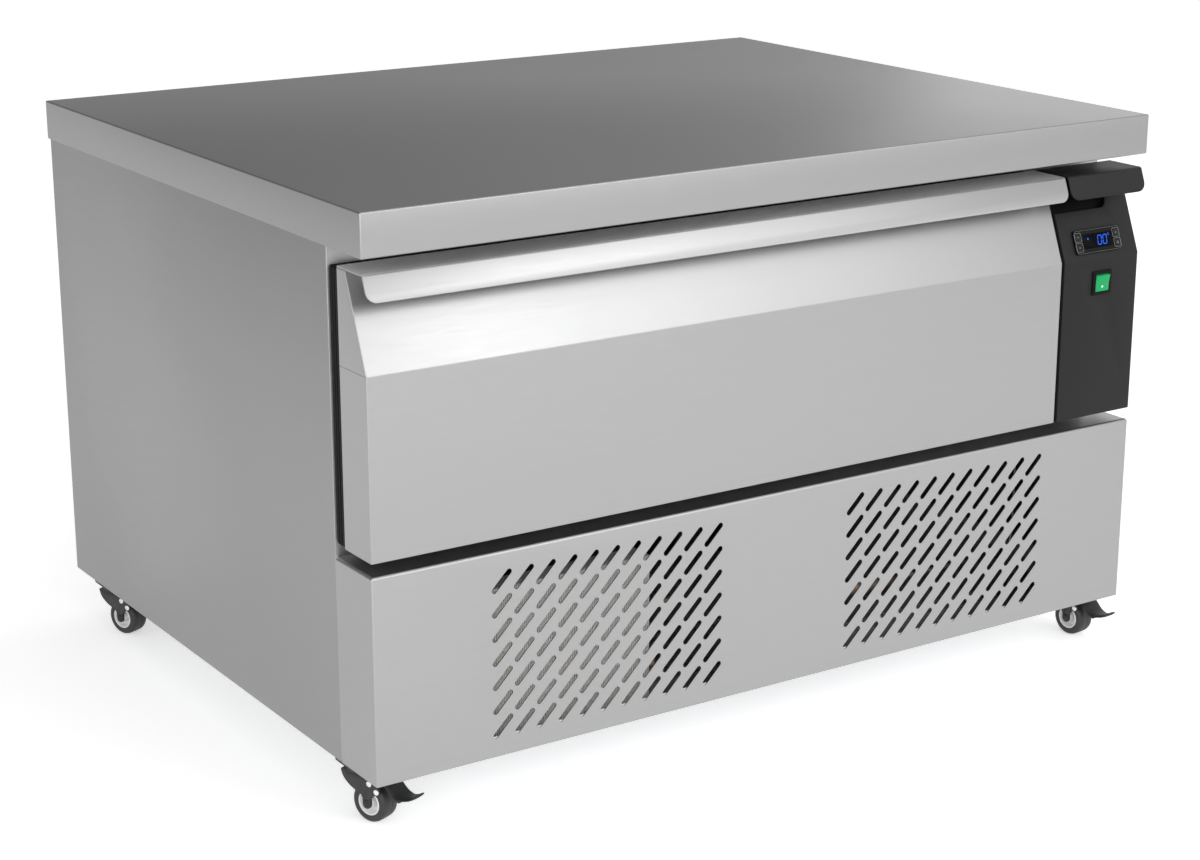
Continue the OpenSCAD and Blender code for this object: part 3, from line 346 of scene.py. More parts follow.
def join_shape(piece, tool, how="UNION"):
    modify(piece, "BOOLEAN", operation=how, solver="EXACT", object=tool)
    bpy.data.objects.remove(tool)
    return piece


def carve(piece, tool):
    return join_shape(piece, tool, "DIFFERENCE")


def thicken(piece, wall, offset=-1):
    return modify(piece, "SOLIDIFY", thickness=wall * MM, offset=offset, use_even_offset=True)


def row(piece, count, step):
    return modify(piece, "ARRAY", count=count, use_relative_offset=False,
                  use_constant_offset=True, constant_offset_displace=Vector(step) * MM)


def tidy_mesh(piece):
    everything(piece)
    bpy.ops.mesh.remove_doubles(threshold=DOUBLE)
    bpy.ops.mesh.dissolve_limited(angle_limit=math.radians(0.5))
    return done(piece)


def ease(piece, width, steps=2, angle=32):
    if width:
        modify(piece, "BEVEL", width=width * MM, segments=steps, limit_method="ANGLE",
               angle_limit=math.radians(angle), use_clamp_overlap=True)
    only(piece)
    bpy.ops.object.shade_smooth_by_angle(angle=math.radians(40))
    return piece


def twin(piece, name, by=(0, 0, 0), spin=None):
    copy = piece.copy()
    copy.data = piece.data.copy()
    copy.name = name
    scene.collection.objects.link(copy)
    if spin:
        copy.data.transform(spin)
    copy.data.transform(Matrix.Translation(Vector(by) * MM))
    return copy


def merge(name, pieces):
    only(pieces[0])
    for piece in pieces[1:]:
        piece.select_set(True)
    bpy.ops.object.join()
    pieces[0].name = name
    return pieces[0]


def around(piece, name, count, axis=(0, 0, 1), centre=(0, 0, 0)):
    there = Matrix.Translation(Vector(centre) * MM)
    copies = [piece]
    for i in range(1, count):
        turn = Matrix.Rotation(2 * math.pi * i / count, 4, Vector(axis))
        copies.append(twin(piece, name + "_copy", spin=there @ turn @ there.inverted()))
    return merge(name, copies)


def dress(piece, material, *replaced, body="cabinet", slot=None):
    piece.data.materials.clear()
    piece.data.materials.append(material)
    for face in piece.data.polygons:
        face.material_index = 0
    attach(piece, body)
    if replaced:
        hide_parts(*replaced)
    print(f"{piece.name}: {len(piece.data.polygons)} faces on {body}")
    return piece


def second_finish(piece, material, test):
    piece.data.materials.append(material)
    for face in piece.data.polygons:
        if test(face.center / MM, face.normal):
            face.material_index = len(piece.data.materials) - 1
    return piece


def refined(node, material, width, body="cabinet", slot=None):
    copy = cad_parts[node].copy()
    copy.data = copy.data.copy()
    copy.name = node + "_eased"
    for key in list(copy.keys()):
        del copy[key]
    copy.parent = None
    scene.collection.objects.link(copy)
    tidy_mesh(copy)
    ease(copy, width)
    return dress(copy, material, node, body=body, slot=slot)


print("Finishing tools ready")

# %% [markdown]
# Many effects are shared: the brushed grain of sheet steel, wear on edges and the faint marks
# of cleaning. Each is a node group with named inputs, built once, that puts out only masks,
# colours and heights.

# %% Shader node groups
def new_group(name, inputs, outputs):
    group = bpy.data.node_groups.new(name, "ShaderNodeTree")
    for label, value in inputs.items():
        kind = "Float" if isinstance(value, float) else {3: "Vector", 4: "Color"}[len(value)]
        socket = group.interface.new_socket(label, in_out="INPUT",
                                            socket_type="NodeSocket" + kind)
        socket.default_value = value
    for label in outputs:
        kind = "Color" if label == "Colour" else "Float"
        group.interface.new_socket(label, in_out="OUTPUT", socket_type="NodeSocket" + kind)
    given, result = (group.nodes.new("NodeGroup" + end) for end in ("Input", "Output"))
    return group, given.outputs, result


def noise(tree, where, scale, detail, rough=0.5):
    inputs = {"Vector": where, "Scale": scale, "Detail": detail, "Roughness": rough}
    return add(tree, "TexNoise", inputs).outputs["Fac"]


def mixed(tree, factor, a, b):
    return add(tree, "Mix", {"Factor": factor, "A": a, "B": b}, data_type="RGBA").outputs["Result"]


grain, given, result = new_group(
    "brushed_grain",
    {"Stretch": (1, 60, 60), "Tint": (0.5, 0.5, 0.5, 1), "Roughness": 0.3, "Strength": 1.0},
    ("Colour", "Roughness", "Height"))
where = add(grain, "TexCoord").outputs["Object"]
spread = add(grain, "VectorMath", {0: where, 1: given["Stretch"]}, operation="MULTIPLY")
fine = noise(grain, spread.outputs["Vector"], 20, 4, 0.6)
swing = ranged(grain, fine, 0.3, 0.7, -0.05, 0.05)
bright = maths(grain, "MULTIPLY_ADD", swing, given["Strength"], 1.0)
toned = add(grain, "VectorMath", {0: given["Tint"], "Scale": bright}, operation="SCALE")
cloud = ranged(grain, noise(grain, where, 3.2, 3), 0.3, 0.7, -0.02, 0.02)
rough = maths(grain, "ADD", maths(grain, "ADD", given["Roughness"], cloud), swing)
feed(grain, result, {"Colour": toned.outputs["Vector"], "Roughness": rough, "Height": fine})

speckle, given, result = new_group(
    "moulded_skin",
    {"Colour": (0.03, 0.03, 0.03, 1), "Light Colour": (0.06, 0.06, 0.06, 1), "Scale": 900.0,
     "Roughness": 0.5},
    ("Colour", "Roughness", "Height"))
where = add(speckle, "TexCoord").outputs["Object"]
broad = noise(speckle, where, 14, 4)
feed(speckle, result, {
    "Colour": mixed(speckle, broad, given["Colour"], given["Light Colour"]),
    "Roughness": maths(speckle, "MULTIPLY_ADD", broad, 0.12, given["Roughness"]),
    "Height": noise(speckle, where, given["Scale"], 2)})

wear, given, result = new_group(
    "edge_wear",
    {"Colour": (0.1, 0.1, 0.1, 1), "Worn Colour": (0.4, 0.4, 0.4, 1), "Amount": 0.5},
    ("Colour", "Mask"))
where = add(wear, "TexCoord").outputs["Object"]
sharp = ranged(wear, add(wear, "NewGeometry").outputs["Pointiness"], 0.52, 0.62)
rubbed = maths(wear, "MULTIPLY", sharp, noise(wear, where, 60, 5))
mask = maths(wear, "MULTIPLY", rubbed, given["Amount"], use_clamp=True)
feed(wear, result, {"Colour": mixed(wear, mask, given["Colour"], given["Worn Colour"]),
                    "Mask": mask})
print("Node groups:", [g.name for g in bpy.data.node_groups])

# %% [markdown]
# Brushed stainless steel is a metal whose grain runs one way. The worktop and the fronts are
# brushed along the width, the sides along the depth, so the stretch differs between them. The
# top and the sides also get darker tints than the fronts, as painted shade, and one much
# lighter steel is painted light on faces in the shade under the worktop's edge.

# %% Metals
def start_material(name):
    material = bpy.data.materials.new(name)
    material.use_nodes = True
    tree = material.node_tree
    return material, tree, tree.nodes["Principled BSDF"]


def rgba(colour):
    return (*colour, 1) if isinstance(colour, tuple) else (colour, colour, colour, 1)


def bumped(tree, height, strength, distance=0.0002):
    inputs = {"Strength": strength, "Distance": distance, "Height": height}
    return add(tree, "Bump", inputs).outputs["Normal"]


def steel(name, tint, roughness, stretch, strength=1.0, bump=0.03, metallic=1.0):
    material, tree, shader = start_material(name)
    look = add(tree, "Group", {"Stretch": stretch, "Tint": rgba(tint), "Roughness": roughness,
                               "Strength": strength}, node_tree=grain).outputs
    feed(tree, shader, {"Metallic": metallic, "Base Color": look["Colour"],
                        "Roughness": look["Roughness"],
                        "Normal": bumped(tree, look["Height"], bump)})
    return material


ALONG_X, ALONG_Y, ALONG_Z = (1.5, 150, 150), (150, 1.5, 150), (150, 150, 1.5)
# The top and side tints are darker than the front tint: painted shade.
steel_top = steel("steel_top", (0.35, 0.35, 0.352), 0.40, ALONG_X, 0.6)
steel_front = steel("steel_front", (0.382, 0.382, 0.384), 0.40, ALONG_X, 0.6)
steel_side_painted_shade = steel("steel_side_painted_shade", (0.315, 0.315, 0.317), 0.42, ALONG_Y, 0.6)
# A much lighter steel, painted light on faces in the shade under the worktop's front edge.
steel_painted_light = steel("steel_painted_light", (0.80, 0.80, 0.802), 0.50, ALONG_X, 0.6)
steel_inside = steel("steel_inside", (0.50, 0.50, 0.505), 0.36, ALONG_X, 0.6)
zinc_sheet = steel("zinc_sheet", (0.52, 0.53, 0.54), 0.50, (6, 6, 6), 1.6, 0.05, 0.6)
zinc_steel = steel("zinc_steel", (0.56, 0.57, 0.58), 0.30, ALONG_Y, 0.8, 0.05)
fins = steel("fins", (0.90, 0.87, 0.84), 0.55, ALONG_Z, 1.0, 0.05, 0.2)
rivet_zinc = steel("rivet_zinc", 0.80, 0.26, (8, 8, 8), 0.6, 0.03)
print("Metals ready")

# %% [markdown]
# Moulded and painted parts have a fine skin and paler worn edges. The display and the rocker
# glow a little, so their colour comes from emission over a dark body.

# %% Plastics, paints and rubber
def moulded(name, colour, light, roughness, scale=900.0, bump=0.15, worn=None, amount=0.5,
            metallic=0.0, coat=0.0, shine=0.5):
    material, tree, shader = start_material(name)
    look = add(tree, "Group", {"Colour": rgba(colour), "Light Colour": rgba(light),
                               "Scale": scale, "Roughness": roughness}, node_tree=speckle).outputs
    rubbed = add(tree, "Group", {"Colour": look["Colour"], "Worn Colour": rgba(worn or light),
                                 "Amount": amount}, node_tree=wear).outputs
    feed(tree, shader, {"Metallic": metallic, "Specular IOR Level": shine, "Coat Weight": coat,
                        "Base Color": rubbed["Colour"], "Roughness": look["Roughness"],
                        "Normal": bumped(tree, look["Height"], bump)})
    return material


black_plastic = moulded("black_plastic", 0.010, 0.013, 0.50, worn=0.05, shine=0.22)
# The deepest black: the bezels' own colour, and painted shade in the fascia's finger recess.
bezel_black_and_painted_shade = moulded("bezel_black_and_painted_shade", 0.003, 0.005, 0.34, bump=0.05, shine=0.10)
button_black = moulded("button_black", 0.006, 0.010, 0.42, bump=0.08, shine=0.2)
display = moulded("display", (0.001, 0.001, 0.002), (0.002, 0.002, 0.003), 0.12, bump=0.0,
                  shine=0.04)
rubber = moulded("rubber", 0.007, 0.011, 0.66, shine=0.15)
tyre_rubber = moulded("tyre_rubber", (0.020, 0.020, 0.022), (0.034, 0.034, 0.036), 0.48, 500.0)
castor_black = moulded("castor_black", (0.012, 0.012, 0.013), (0.018, 0.018, 0.019), 0.40,
                       worn=0.08, amount=0.6, shine=0.35)
rim_grey = moulded("rim_grey", 0.74, 0.82, 0.30, bump=0.05)
fan_plastic = moulded("fan_plastic", (0.020, 0.020, 0.021), (0.034, 0.034, 0.035), 0.44)
motor_grey = moulded("motor_grey", (0.060, 0.062, 0.066), (0.090, 0.092, 0.096), 0.40,
                     metallic=0.5)
black_enamel = moulded("black_enamel", (0.010, 0.010, 0.011), (0.016, 0.016, 0.017), 0.22,
                       coat=0.5)
copper = moulded("copper", (0.38, 0.29, 0.23), (0.46, 0.35, 0.28), 0.40,
                 worn=(0.6, 0.38, 0.26), metallic=1.0)
grey_plastic = moulded("grey_plastic", (0.52, 0.52, 0.50), (0.58, 0.58, 0.56), 0.46)
foam = moulded("foam", (0.80, 0.70, 0.42), (0.86, 0.78, 0.52), 0.85, 260.0, 0.6)
print_grey = moulded("print_grey", (0.20, 0.21, 0.21), (0.26, 0.27, 0.27), 0.50, bump=0.0,
                     shine=0.2)


def glowing(name, colour, light, strength, roughness):
    material = moulded(name, colour, light, roughness, bump=0.03, shine=0.2)
    tree = material.node_tree
    feed(tree, tree.nodes["Principled BSDF"], {"Emission Color": rgba(light),
                                               "Emission Strength": strength})
    return material


green_rocker = glowing("green_rocker", (0.008, 0.27, 0.085), (0.012, 0.34, 0.11), 0.12, 0.22)
lamp_green = glowing("lamp_green", (0.25, 0.75, 0.45), (0.45, 0.90, 0.60), 0.5, 0.25)
digit_blue = glowing("digit_blue", (0.005, 0.03, 0.20), (0.01, 0.12, 0.90), 0.65, 0.4)

board, tree, shader = start_material("board")
chips = noise(tree, add(tree, "TexCoord").outputs["Object"], 240, 4)
tones = add(tree, "ValToRGB", {"Fac": chips})
tones.color_ramp.elements[0].color = (0.22, 0.14, 0.07, 1)
tones.color_ramp.elements[1].color = (0.55, 0.40, 0.24, 1)
feed(tree, shader, {"Base Color": tones.outputs["Color"], "Roughness": 0.8,
                    "Normal": bumped(tree, chips, 0.4, 0.0005)})
print("Materials:", len(bpy.data.materials))

# %% [markdown]
# The worktop is one sheet folded down on all four sides and folded in again underneath, round
# the board that stiffens it. A block with rounded edges gives the outside, a smaller one is
# taken out of it, which leaves the sheet, and a third one opens the underside.

# %% Worktop
def span(node):
    low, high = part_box(node)
    return low / MM, high / MM


SHEET = 1.2
low, high = span("worktop")
wall = Vector((SHEET, SHEET, SHEET))
worktop = block("worktop_shell", low, high)
fold(worktop, lambda m, d: True, 1.5, 4)
hollow = block("hollow", low + wall, high - wall)
fold(hollow, lambda m, d: True, 0.5, 2)
carve(worktop, hollow)
carve(worktop, block("opening", low + Vector((25, 68.5, -5)),
                     (high.x - 25, high.y - 25, low.z + 10)))
ease(worktop, 0)
# The worktop's top gets a darker copy of the front steel: painted shade.
dress(worktop, steel_top, "worktop")
# The underside gets the much lighter steel: painted light into the gap above the grip.
second_finish(worktop, steel_painted_light, lambda c, n: n.z < -0.9)
# Its ends get the still darker side steel: painted shade.
second_finish(worktop, steel_side_painted_shade, lambda c, n: abs(n.x) > 0.7)

# %% [markdown]
# The side panels, the front frame and the back are flat sheets with folded edges. The frame
# has their form already. A merged copy gets its split faces joined and a fine bevel on its
# sharp edges, which catches the light as a cut sheet edge does.

# %% Cabinet sheets
# The side panels get the darker side steel: painted shade.
for hand in ("left", "right"):
    refined(f"side_panel_{hand}", steel_side_painted_shade, 0.18)
refined("front_frame", steel_front, 0.3, slot="steel_sheet")
for node, width in (("back_panel", 0.2), ("base_tray", 0.3), ("cabinet_floor", 0.2)):
    refined(node, zinc_sheet, width)

# %% [markdown]
# The drawer front is a folded shell with an upright face and a sloping face. A block up to the
# bend grows upwards, and the front edge of its new part moves back, which makes the slope.
# The same function, drawn in by the wall, gives the hollow. A fine groove round each side marks
# where the flaps of the two faces meet.

# %% Drawer front
FACE, BACK, BOTTOM, KINK, TOP, RUN = -343.5, -295.5, 262.0, 428.5, 514.5, 34.5
SLOPE = math.atan2(RUN, TOP - KINK)
DRAWER_LEFT, DRAWER_RIGHT = -447.0, 342.5


def front_shape(name, x0, x1, inset, back):
    bend = KINK - inset * math.tan(SLOPE / 2)
    piece = block(name, (x0, FACE + inset, BOTTOM + inset), (x1, back, bend))
    grow(piece, lambda c, n: n.z > 0.9, (0, 0, TOP - inset - bend))
    set_back = RUN - inset * math.tan(SLOPE) + inset / math.cos(SLOPE) - inset
    shift(piece, lambda p: p.z > TOP - inset - 1 and p.y < FACE + inset + 1, (0, set_back, 0))
    return tidy_mesh(piece)


drawer = front_shape("drawer_shell", DRAWER_LEFT, DRAWER_RIGHT, 0, BACK)
fold(drawer, lambda m, d: m.y < BACK - 1, 0.9, 4)
carve(drawer, front_shape("hollow", DRAWER_LEFT + SHEET, DRAWER_RIGHT - SHEET, SHEET, BACK + 5))
for x in (DRAWER_LEFT, DRAWER_RIGHT):
    groove = block("groove", (x - 0.3, FACE - 1, KINK - 0.25), (x + 0.3, BACK + 1, KINK + 0.25))
    carve(drawer, groove)
ease(drawer, 0)
dress(drawer, steel_front, "drawer_front", body="drawer")

# %% [markdown]
# The grip is a strip of thicker sheet: a flange on top of the front and a lip that hangs in
# front of the slope and parallel to it, with round lower corners. The front face of a flat bar
# is cut to the mitre of the fold, grows down along the slope, and is squared off at its end.

# %% Drawer handle
LIP_Y, LIP_DROP, GRIP_T = -350.0, 23.0, 1.5
LIP_END = Vector((0, -math.sin(SLOPE), -math.cos(SLOPE)))
INWARD = Vector((0, math.cos(SLOPE), -math.sin(SLOPE)))


def grip(name, x0, x1):
    top = TOP + GRIP_T
    crease = LIP_Y + LIP_DROP * math.tan(SLOPE)
    strip = block(name, (x0, crease, TOP), (x1, BACK, top))
    mitre = GRIP_T / math.tan((math.pi / 2 + SLOPE) / 2)
    shift(strip, lambda p: p.y < crease + 1 and p.z < top - 1, (0, mitre, 0))
    grow(strip, lambda c, n: n.y < -0.5, LIP_DROP / math.cos(SLOPE) * LIP_END)
    shift(strip, lambda p: p.z < top - LIP_DROP - 1, -mitre * LIP_END)
    tidy_mesh(strip)
    fold(strip, lambda m, d: abs(d.dot(INWARD)) > 0.9 and m.z < top - LIP_DROP + 2, 10, 8)
    fold(strip, lambda m, d: abs(d.x) > 0.9 and abs(m.y - crease) < 0.1, 1.8, 5)
    return ease(strip, 0.3, 2, 45)


handle = grip("drawer_grip", DRAWER_LEFT, DRAWER_RIGHT)
dress(handle, steel_front, "drawer_handle", body="drawer")
# The flange's top gets the much lighter steel: painted light where the worktop above shades it.
second_finish(handle, steel_painted_light, lambda c, n: n.z > 0.9)

# %% [markdown]
# The vented panel is folded back at its top and its sides. The slots are punched, so they are
# cut through the finished sheet. One slot is a bar with round ends, turned by 45 degrees; an
# array repeats it along the row and up the field, and one cut makes each field.

# %% Vented panel
low, high = span("vented_panel")
vented = block("vent_sheet", low, high)
fold(vented, lambda m, d: abs(d.z) > 0.9 and m.y < low.y + 1, 1.5, 5)
fold(vented, lambda m, d: m.z > high.z - 0.1 and m.y < high.y - 1, 3.2, 7)
carve(vented, block("hollow", low + Vector((SHEET, SHEET, -5)), high + Vector((-SHEET, 5, -SHEET))))
PITCH, SLOT_LONG, SLOT_WIDE, FIELD_Z = 23.2, 27.5, 5.5, 152


def slot_field(middle):
    x, z = middle - 5 * PITCH, FIELD_Z - 3 * PITCH
    half_long, half_wide = SLOT_LONG / 2, SLOT_WIDE / 2
    bar = block("slots", (-half_long, low.y - 3, -half_wide), (half_long, low.y + 4.5, half_wide))
    fold(bar, lambda m, d: abs(d.y) > 0.9, half_wide - 0.02, 6)
    place(bar, (x, 0, z), (0, math.radians(-45), 0))
    return row(row(bar, 11, (PITCH, 0, 0)), 7, (0, 0, PITCH))


for middle in (-201, 201):
    carve(vented, slot_field(middle))
ease(vented, 0.15, 1)
dress(vented, steel_front, "vented_panel")

# %% [markdown]
# The control column is one black moulding with the same bend as the drawer, and it carries the
# grip's line on to the right. The outer shape is hollowed, gets a neck that meets the front
# frame, a finger recess under the lip, and the two openings for the controller and the switch.

# %% Control fascia
FASCIA_LEFT, FASCIA_RIGHT, FRAME_Y = 346.5, 447.5, -278.0
WALL, NECK = 2.5, 6.0
fascia = front_shape("fascia_moulding", FASCIA_LEFT, FASCIA_RIGHT, 0, BACK)
fold(fascia, lambda m, d: m.y < BACK - 1, 1.2, 4)
neck_low = Vector((FASCIA_LEFT + NECK, BACK - WALL, BOTTOM + NECK))
neck_high = Vector((FASCIA_RIGHT - NECK, FRAME_Y, TOP - NECK))
join_shape(fascia, block("neck", neck_low, neck_high))
RECESS_X, RECESS_Y, RECESS_TOP, RECESS_DEEP = 71, 50.5, 87.7, 8


def finger_recess(grown, left, front):
    tool = block("recess", (left, RECESS_Y - grown, -RECESS_DEEP - grown),
                 (RECESS_X + grown, RECESS_TOP + grown, front))
    fold(tool, lambda m, d: abs(d.z) > 0.9 and m.x > 60 and m.y < 60, 8.5, 6)
    fold(tool, lambda m, d: m.z < -7 and m.x > 1, 1.5, 3)
    return place(tool, (FASCIA_LEFT, FACE, KINK), (math.pi / 2 - SLOPE, 0, 0))


inner = front_shape("hollow", FASCIA_LEFT + WALL, FASCIA_RIGHT - WALL, WALL, BACK - WALL)
thin = Vector((WALL, 0, WALL))
join_shape(inner, block("neck_hollow", neck_low + thin - Vector((0, 2, 0)),
                        neck_high - thin + Vector((0, 5, 0))))
carve(inner, finger_recess(WALL, -5, 5))
carve(fascia, inner)
carve(fascia, finger_recess(0, -5, 5))
CONTROL = ((394, FACE + 18 * math.sin(SLOPE), KINK + 18 * math.cos(SLOPE)),
           (math.pi / 2 - SLOPE, 0, 0))
SWITCH = ((398, FACE, KINK - 26), (math.pi / 2, 0, 0))
for where, wide, tall in ((CONTROL, 56.6, 20.6), (SWITCH, 22.6, 21.6)):
    hole = block("hole", (-wide / 2, -tall / 2, -12), (wide / 2, tall / 2, 5))
    carve(fascia, place(hole, *where))
join_shape(fascia, grip("fascia_grip", FASCIA_LEFT, FASCIA_RIGHT))
ease(fascia, 0.25, 2, 45)
dress(fascia, black_plastic, "control_fascia")
to_slope = Matrix.Rotation(math.pi / 2 - SLOPE, 3, "X").transposed()


# Faces inside the finger recess, which get a deeper black as painted shade.
def recess_painted_shade(c, n):
    spot = to_slope @ (c - Vector((FASCIA_LEFT, FACE, KINK)))
    near = 0.2
    return (-RECESS_DEEP - near < spot.z < -0.4 and 0 < spot.x < RECESS_X + near
            and RECESS_Y - near < spot.y < RECESS_TOP + near)


# The recess gets the bezels' deeper black: painted shade under the lip.
second_finish(fascia, bezel_black_and_painted_shade, recess_painted_shade)

# %% [markdown]
# The temperature controller is drawn flat, with Z outwards, and then laid on the slope. Its
# bezel has round corners and a raised rim, a pocket for the dark window, and wells for the
# four buttons. Thin pale outlines are printed round the buttons.

# %% Controller bezel and window
def pad(name, wide, tall, z0, z1, spot=(0, 0)):
    reach, centre = Vector((wide, tall, 0)) / 2, Vector((*spot, 0))
    return block(name, centre - reach + Vector((0, 0, z0)), centre + reach + Vector((0, 0, z1)))


def soft_pad(name, wide, tall, z0, z1, corner, spot=(0, 0)):
    piece = pad(name, wide, tall, z0, z1, spot)
    return fold(piece, lambda m, d: abs(d.z) > 0.9, corner, 5)


def outline(name, wide, tall, corner, line, z, spot=(0, 0)):
    ring = soft_pad(name, wide, tall, z - 0.3, z + 0.04, corner, spot)
    gap = soft_pad("gap", wide - 2 * line, tall - 2 * line, z - 1, z + 1, corner - line, spot)
    return carve(ring, gap)


BEZEL = 2.6
BUTTONS = [(-26, 5.2), (-26, -5.2), (26, 5.2), (26, -5.2)]
case = soft_pad("controller_bezel", 62, 25, 0, BEZEL, 3)
fold(case, lambda m, d: m.z > BEZEL - 0.1, 0.7, 3)
join_shape(case, pad("body", 56, 20, -36, 0.5))
carve(case, soft_pad("window_pocket", 41, 15, BEZEL - 1, BEZEL + 2, 0.8))
for spot in BUTTONS:
    carve(case, soft_pad("well", 7.4, 8.4, 0.3, BEZEL + 2, 1.1, spot))
place(ease(case, 0.12, 1, 50), *CONTROL)
dress(case, bezel_black_and_painted_shade, "controller_case")
window = soft_pad("display_window", 41, 15, BEZEL - 1, BEZEL, 0.8)
place(ease(window, 0.1, 2), *CONTROL)
dress(window, display, "controller_window")
lines = [outline("printed_lines", 9.3, 9.3, 1.6, 0.32, BEZEL, spot) for spot in BUTTONS]
lines.append(outline("edge", 60.4, 23.4, 2.4, 0.18, BEZEL - 0.02))
printed = place(merge("printed_lines", lines), *CONTROL)
dress(printed, print_grey)

# %% [markdown]
# Two digits, a degree ring and a small plus glow blue behind the window. Each digit is a zero
# made of six bars that lean a little to the right, as on any seven-segment display.

# %% Digits on the display
def segment(name, a, b, wide=0.85):
    along = Vector(b) - Vector(a)
    reach = along.length / 2 - 0.35
    bar = block(name, (-reach, -wide / 2, BEZEL - 0.1), (reach, wide / 2, BEZEL + 0.03))
    fold(bar, lambda m, d: abs(d.z) > 0.9, wide / 2 - 0.1, 2)
    middle = (Vector(a) + Vector(b)) / 2
    return place(bar, middle.to_3d(), (0, 0, math.atan2(along.y, along.x)))


def zero(x, wide=4.9, tall=9.2, lean=1.3):
    low_left, low_right = (x, -tall / 2), (x + wide, -tall / 2)
    top_right, top_left = (x + wide + lean, tall / 2), (x + lean, tall / 2)
    right, left = (x + wide + lean / 2, 0), (x + lean / 2, 0)
    path = [low_left, low_right, right, top_right, top_left, left, low_left]
    return [segment("bar", a, b) for a, b in zip(path, path[1:])]


def thin_ring(name, inner, outer, spot, sides):
    line = [(inner, -0.05), (outer, -0.05), (outer, 0.03), (inner, 0.03), (inner, -0.05)]
    return turned(name, line, (*spot, BEZEL), sides=sides)


digits = zero(-0.6) + zero(6.6)
digits += [thin_ring("degree", 0.75, 1.15, (15.2, 4.6), 20)]
digits += [segment("plus", a, b, 0.7)
           for a, b in (((-14.6, 2.6), (-11.4, 2.6)), ((-13, 1), (-13, 4.2)))]
shown = place(merge("display_digits", digits), *CONTROL)
dress(shown, digit_blue)

# %% [markdown]
# The buttons are small soft-edged keys with a printed mark each: up, down, a bar and a ring.

# %% Controller buttons
strokes = [
    [((-1.1, -0.5), (0, 1.0)), ((1.1, -0.5), (0, 1.0))],
    [((-1.1, 0.6), (0, -0.9)), ((1.1, 0.6), (0, -0.9))],
    [((-1.2, 0.7), (1.2, 0.7)), ((-1.2, -0.7), (1.2, -0.7))],
]
marks = [[segment("mark", a, b, 0.5) for a, b in pair] for pair in strokes]
marks.append([thin_ring("mark", 0.8, 1.25, (0, 0), 16)])
for number, (spot, mark) in enumerate(zip(BUTTONS, marks), 1):
    key = soft_pad(f"key_{number}", 7, 8, 1.4, BEZEL + 0.3, 1.0)
    fold(key, lambda m, d: m.z > BEZEL, 0.4, 3)
    place(ease(key, 0), (*spot, 0))
    place(key, *CONTROL)
    dress(key, button_black, f"controller_button_{number}", body=f"button_{number}")
    sign = place(merge(f"key_mark_{number}", mark), (*spot, 0.3))
    place(sign, *CONTROL)
    dress(sign, print_grey, body=f"button_{number}")

# %% [markdown]
# The rocker switch has a black bezel with a raised collar. The rocker is two shallow planes
# that meet in the middle, with fine grip ribs and a pale dot on its lower half.

# %% Rocker switch
housing = soft_pad("switch_bezel", 26, 25, 0, 1.6, 1.6)
fold(housing, lambda m, d: m.z > 1.5, 0.6, 3)
collar = soft_pad("collar", 21.4, 21.2, 0.5, 2.0, 0.9)
fold(collar, lambda m, d: m.z > 1.9, 0.35, 2)
join_shape(housing, collar)
join_shape(housing, pad("body", 22, 21, -20, 0.5))
carve(housing, pad("well", 18.8, 18.6, -18, 4))
carve(housing, drum("pivot_hole", (-10.4, 0, -4), (10.4, 0, -4), 3.1))
place(ease(housing, 0.12, 1, 50), *SWITCH)
dress(housing, bezel_black_and_painted_shade, "switch_housing")

TILT = math.radians(6)
PIVOT = 4.0
rocker = block("rocker_key", (-9.2, -8.5, -2), (9.2, 8.5, 2.6 + PIVOT))
everything(rocker)
bpy.ops.mesh.bisect(plane_co=(0, 0, 0), plane_no=(0, 1, 0))
done(rocker)
shift(rocker, lambda p: abs(p.y) < 0.1 and p.z > 3, (0, 0, -0.7))
fold(rocker, lambda m, d: m.z > 3 and not (abs(m.y) < 0.1 and abs(d.x) > 0.9), 0.6, 3)
join_shape(rocker, drum("pins", (-10.2, 0, 0), (10.2, 0, 0), 3))
ribs = row(drum("ribs", (-6.5, -7.2, 6.25), (6.5, -7.2, 6.25), 0.7, 10), 3, (0, 1.2, -0.1))
rocker = merge("rocker_key", [ease(rocker, 0), ribs])
dot_line = [(0, 0.05), (1.1, 0.05), (1.35, -0.1), (1.35, -0.4), (0, -0.4)]
dot = ease(turned("rocker_dot", dot_line, (0, -3.6, 6.25), sides=20), 0)
for piece in (rocker, dot):
    place(place(piece, (0, 0, -PIVOT), (TILT, 0, 0)), *SWITCH)
dress(rocker, green_rocker, "switch_rocker", body="rocker")
dress(dot, lamp_green, body="rocker")

# %% [markdown]
# A castor is a plate with a ball race, a fork, a wheel and a brake pedal. All four are the
# same, so each piece is modelled once, upright at the origin with its wheel trailing to the
# front, and a copy with its own mesh is turned and moved to each swivel.

# %% Castor places
AXLE, RIM_R, CHEEK = Vector((0, -15, 19)), 12, 12.6
SWIVELS = {
    "front_left": ((-430, -282, 0), 22.7), "front_right": ((430, -282, 0), 5.7),
    "rear_left": ((-430, 280, 0), 22.7), "rear_right": ((430, 280, 0), 5.7),
}


def to_corners(model, material, body, node=None):
    for corner, (spot, turn) in SWIVELS.items():
        spin = Matrix.Rotation(math.radians(turn), 4, "Z")
        piece = twin(model, f"{model.name}_{corner}", spot, spin)
        replaced = [f"{node}_{corner}"] if node else []
        dress(piece, material, *replaced, body=f"{body}_{corner}")
    bpy.data.objects.remove(model)


print("Castors at", list(SWIVELS))

# %% [markdown]
# The tyre has a slightly crowned tread with a mould line, and round shoulders. The rim is
# dished on both sides, with a bead at its edge, a web and a hub.

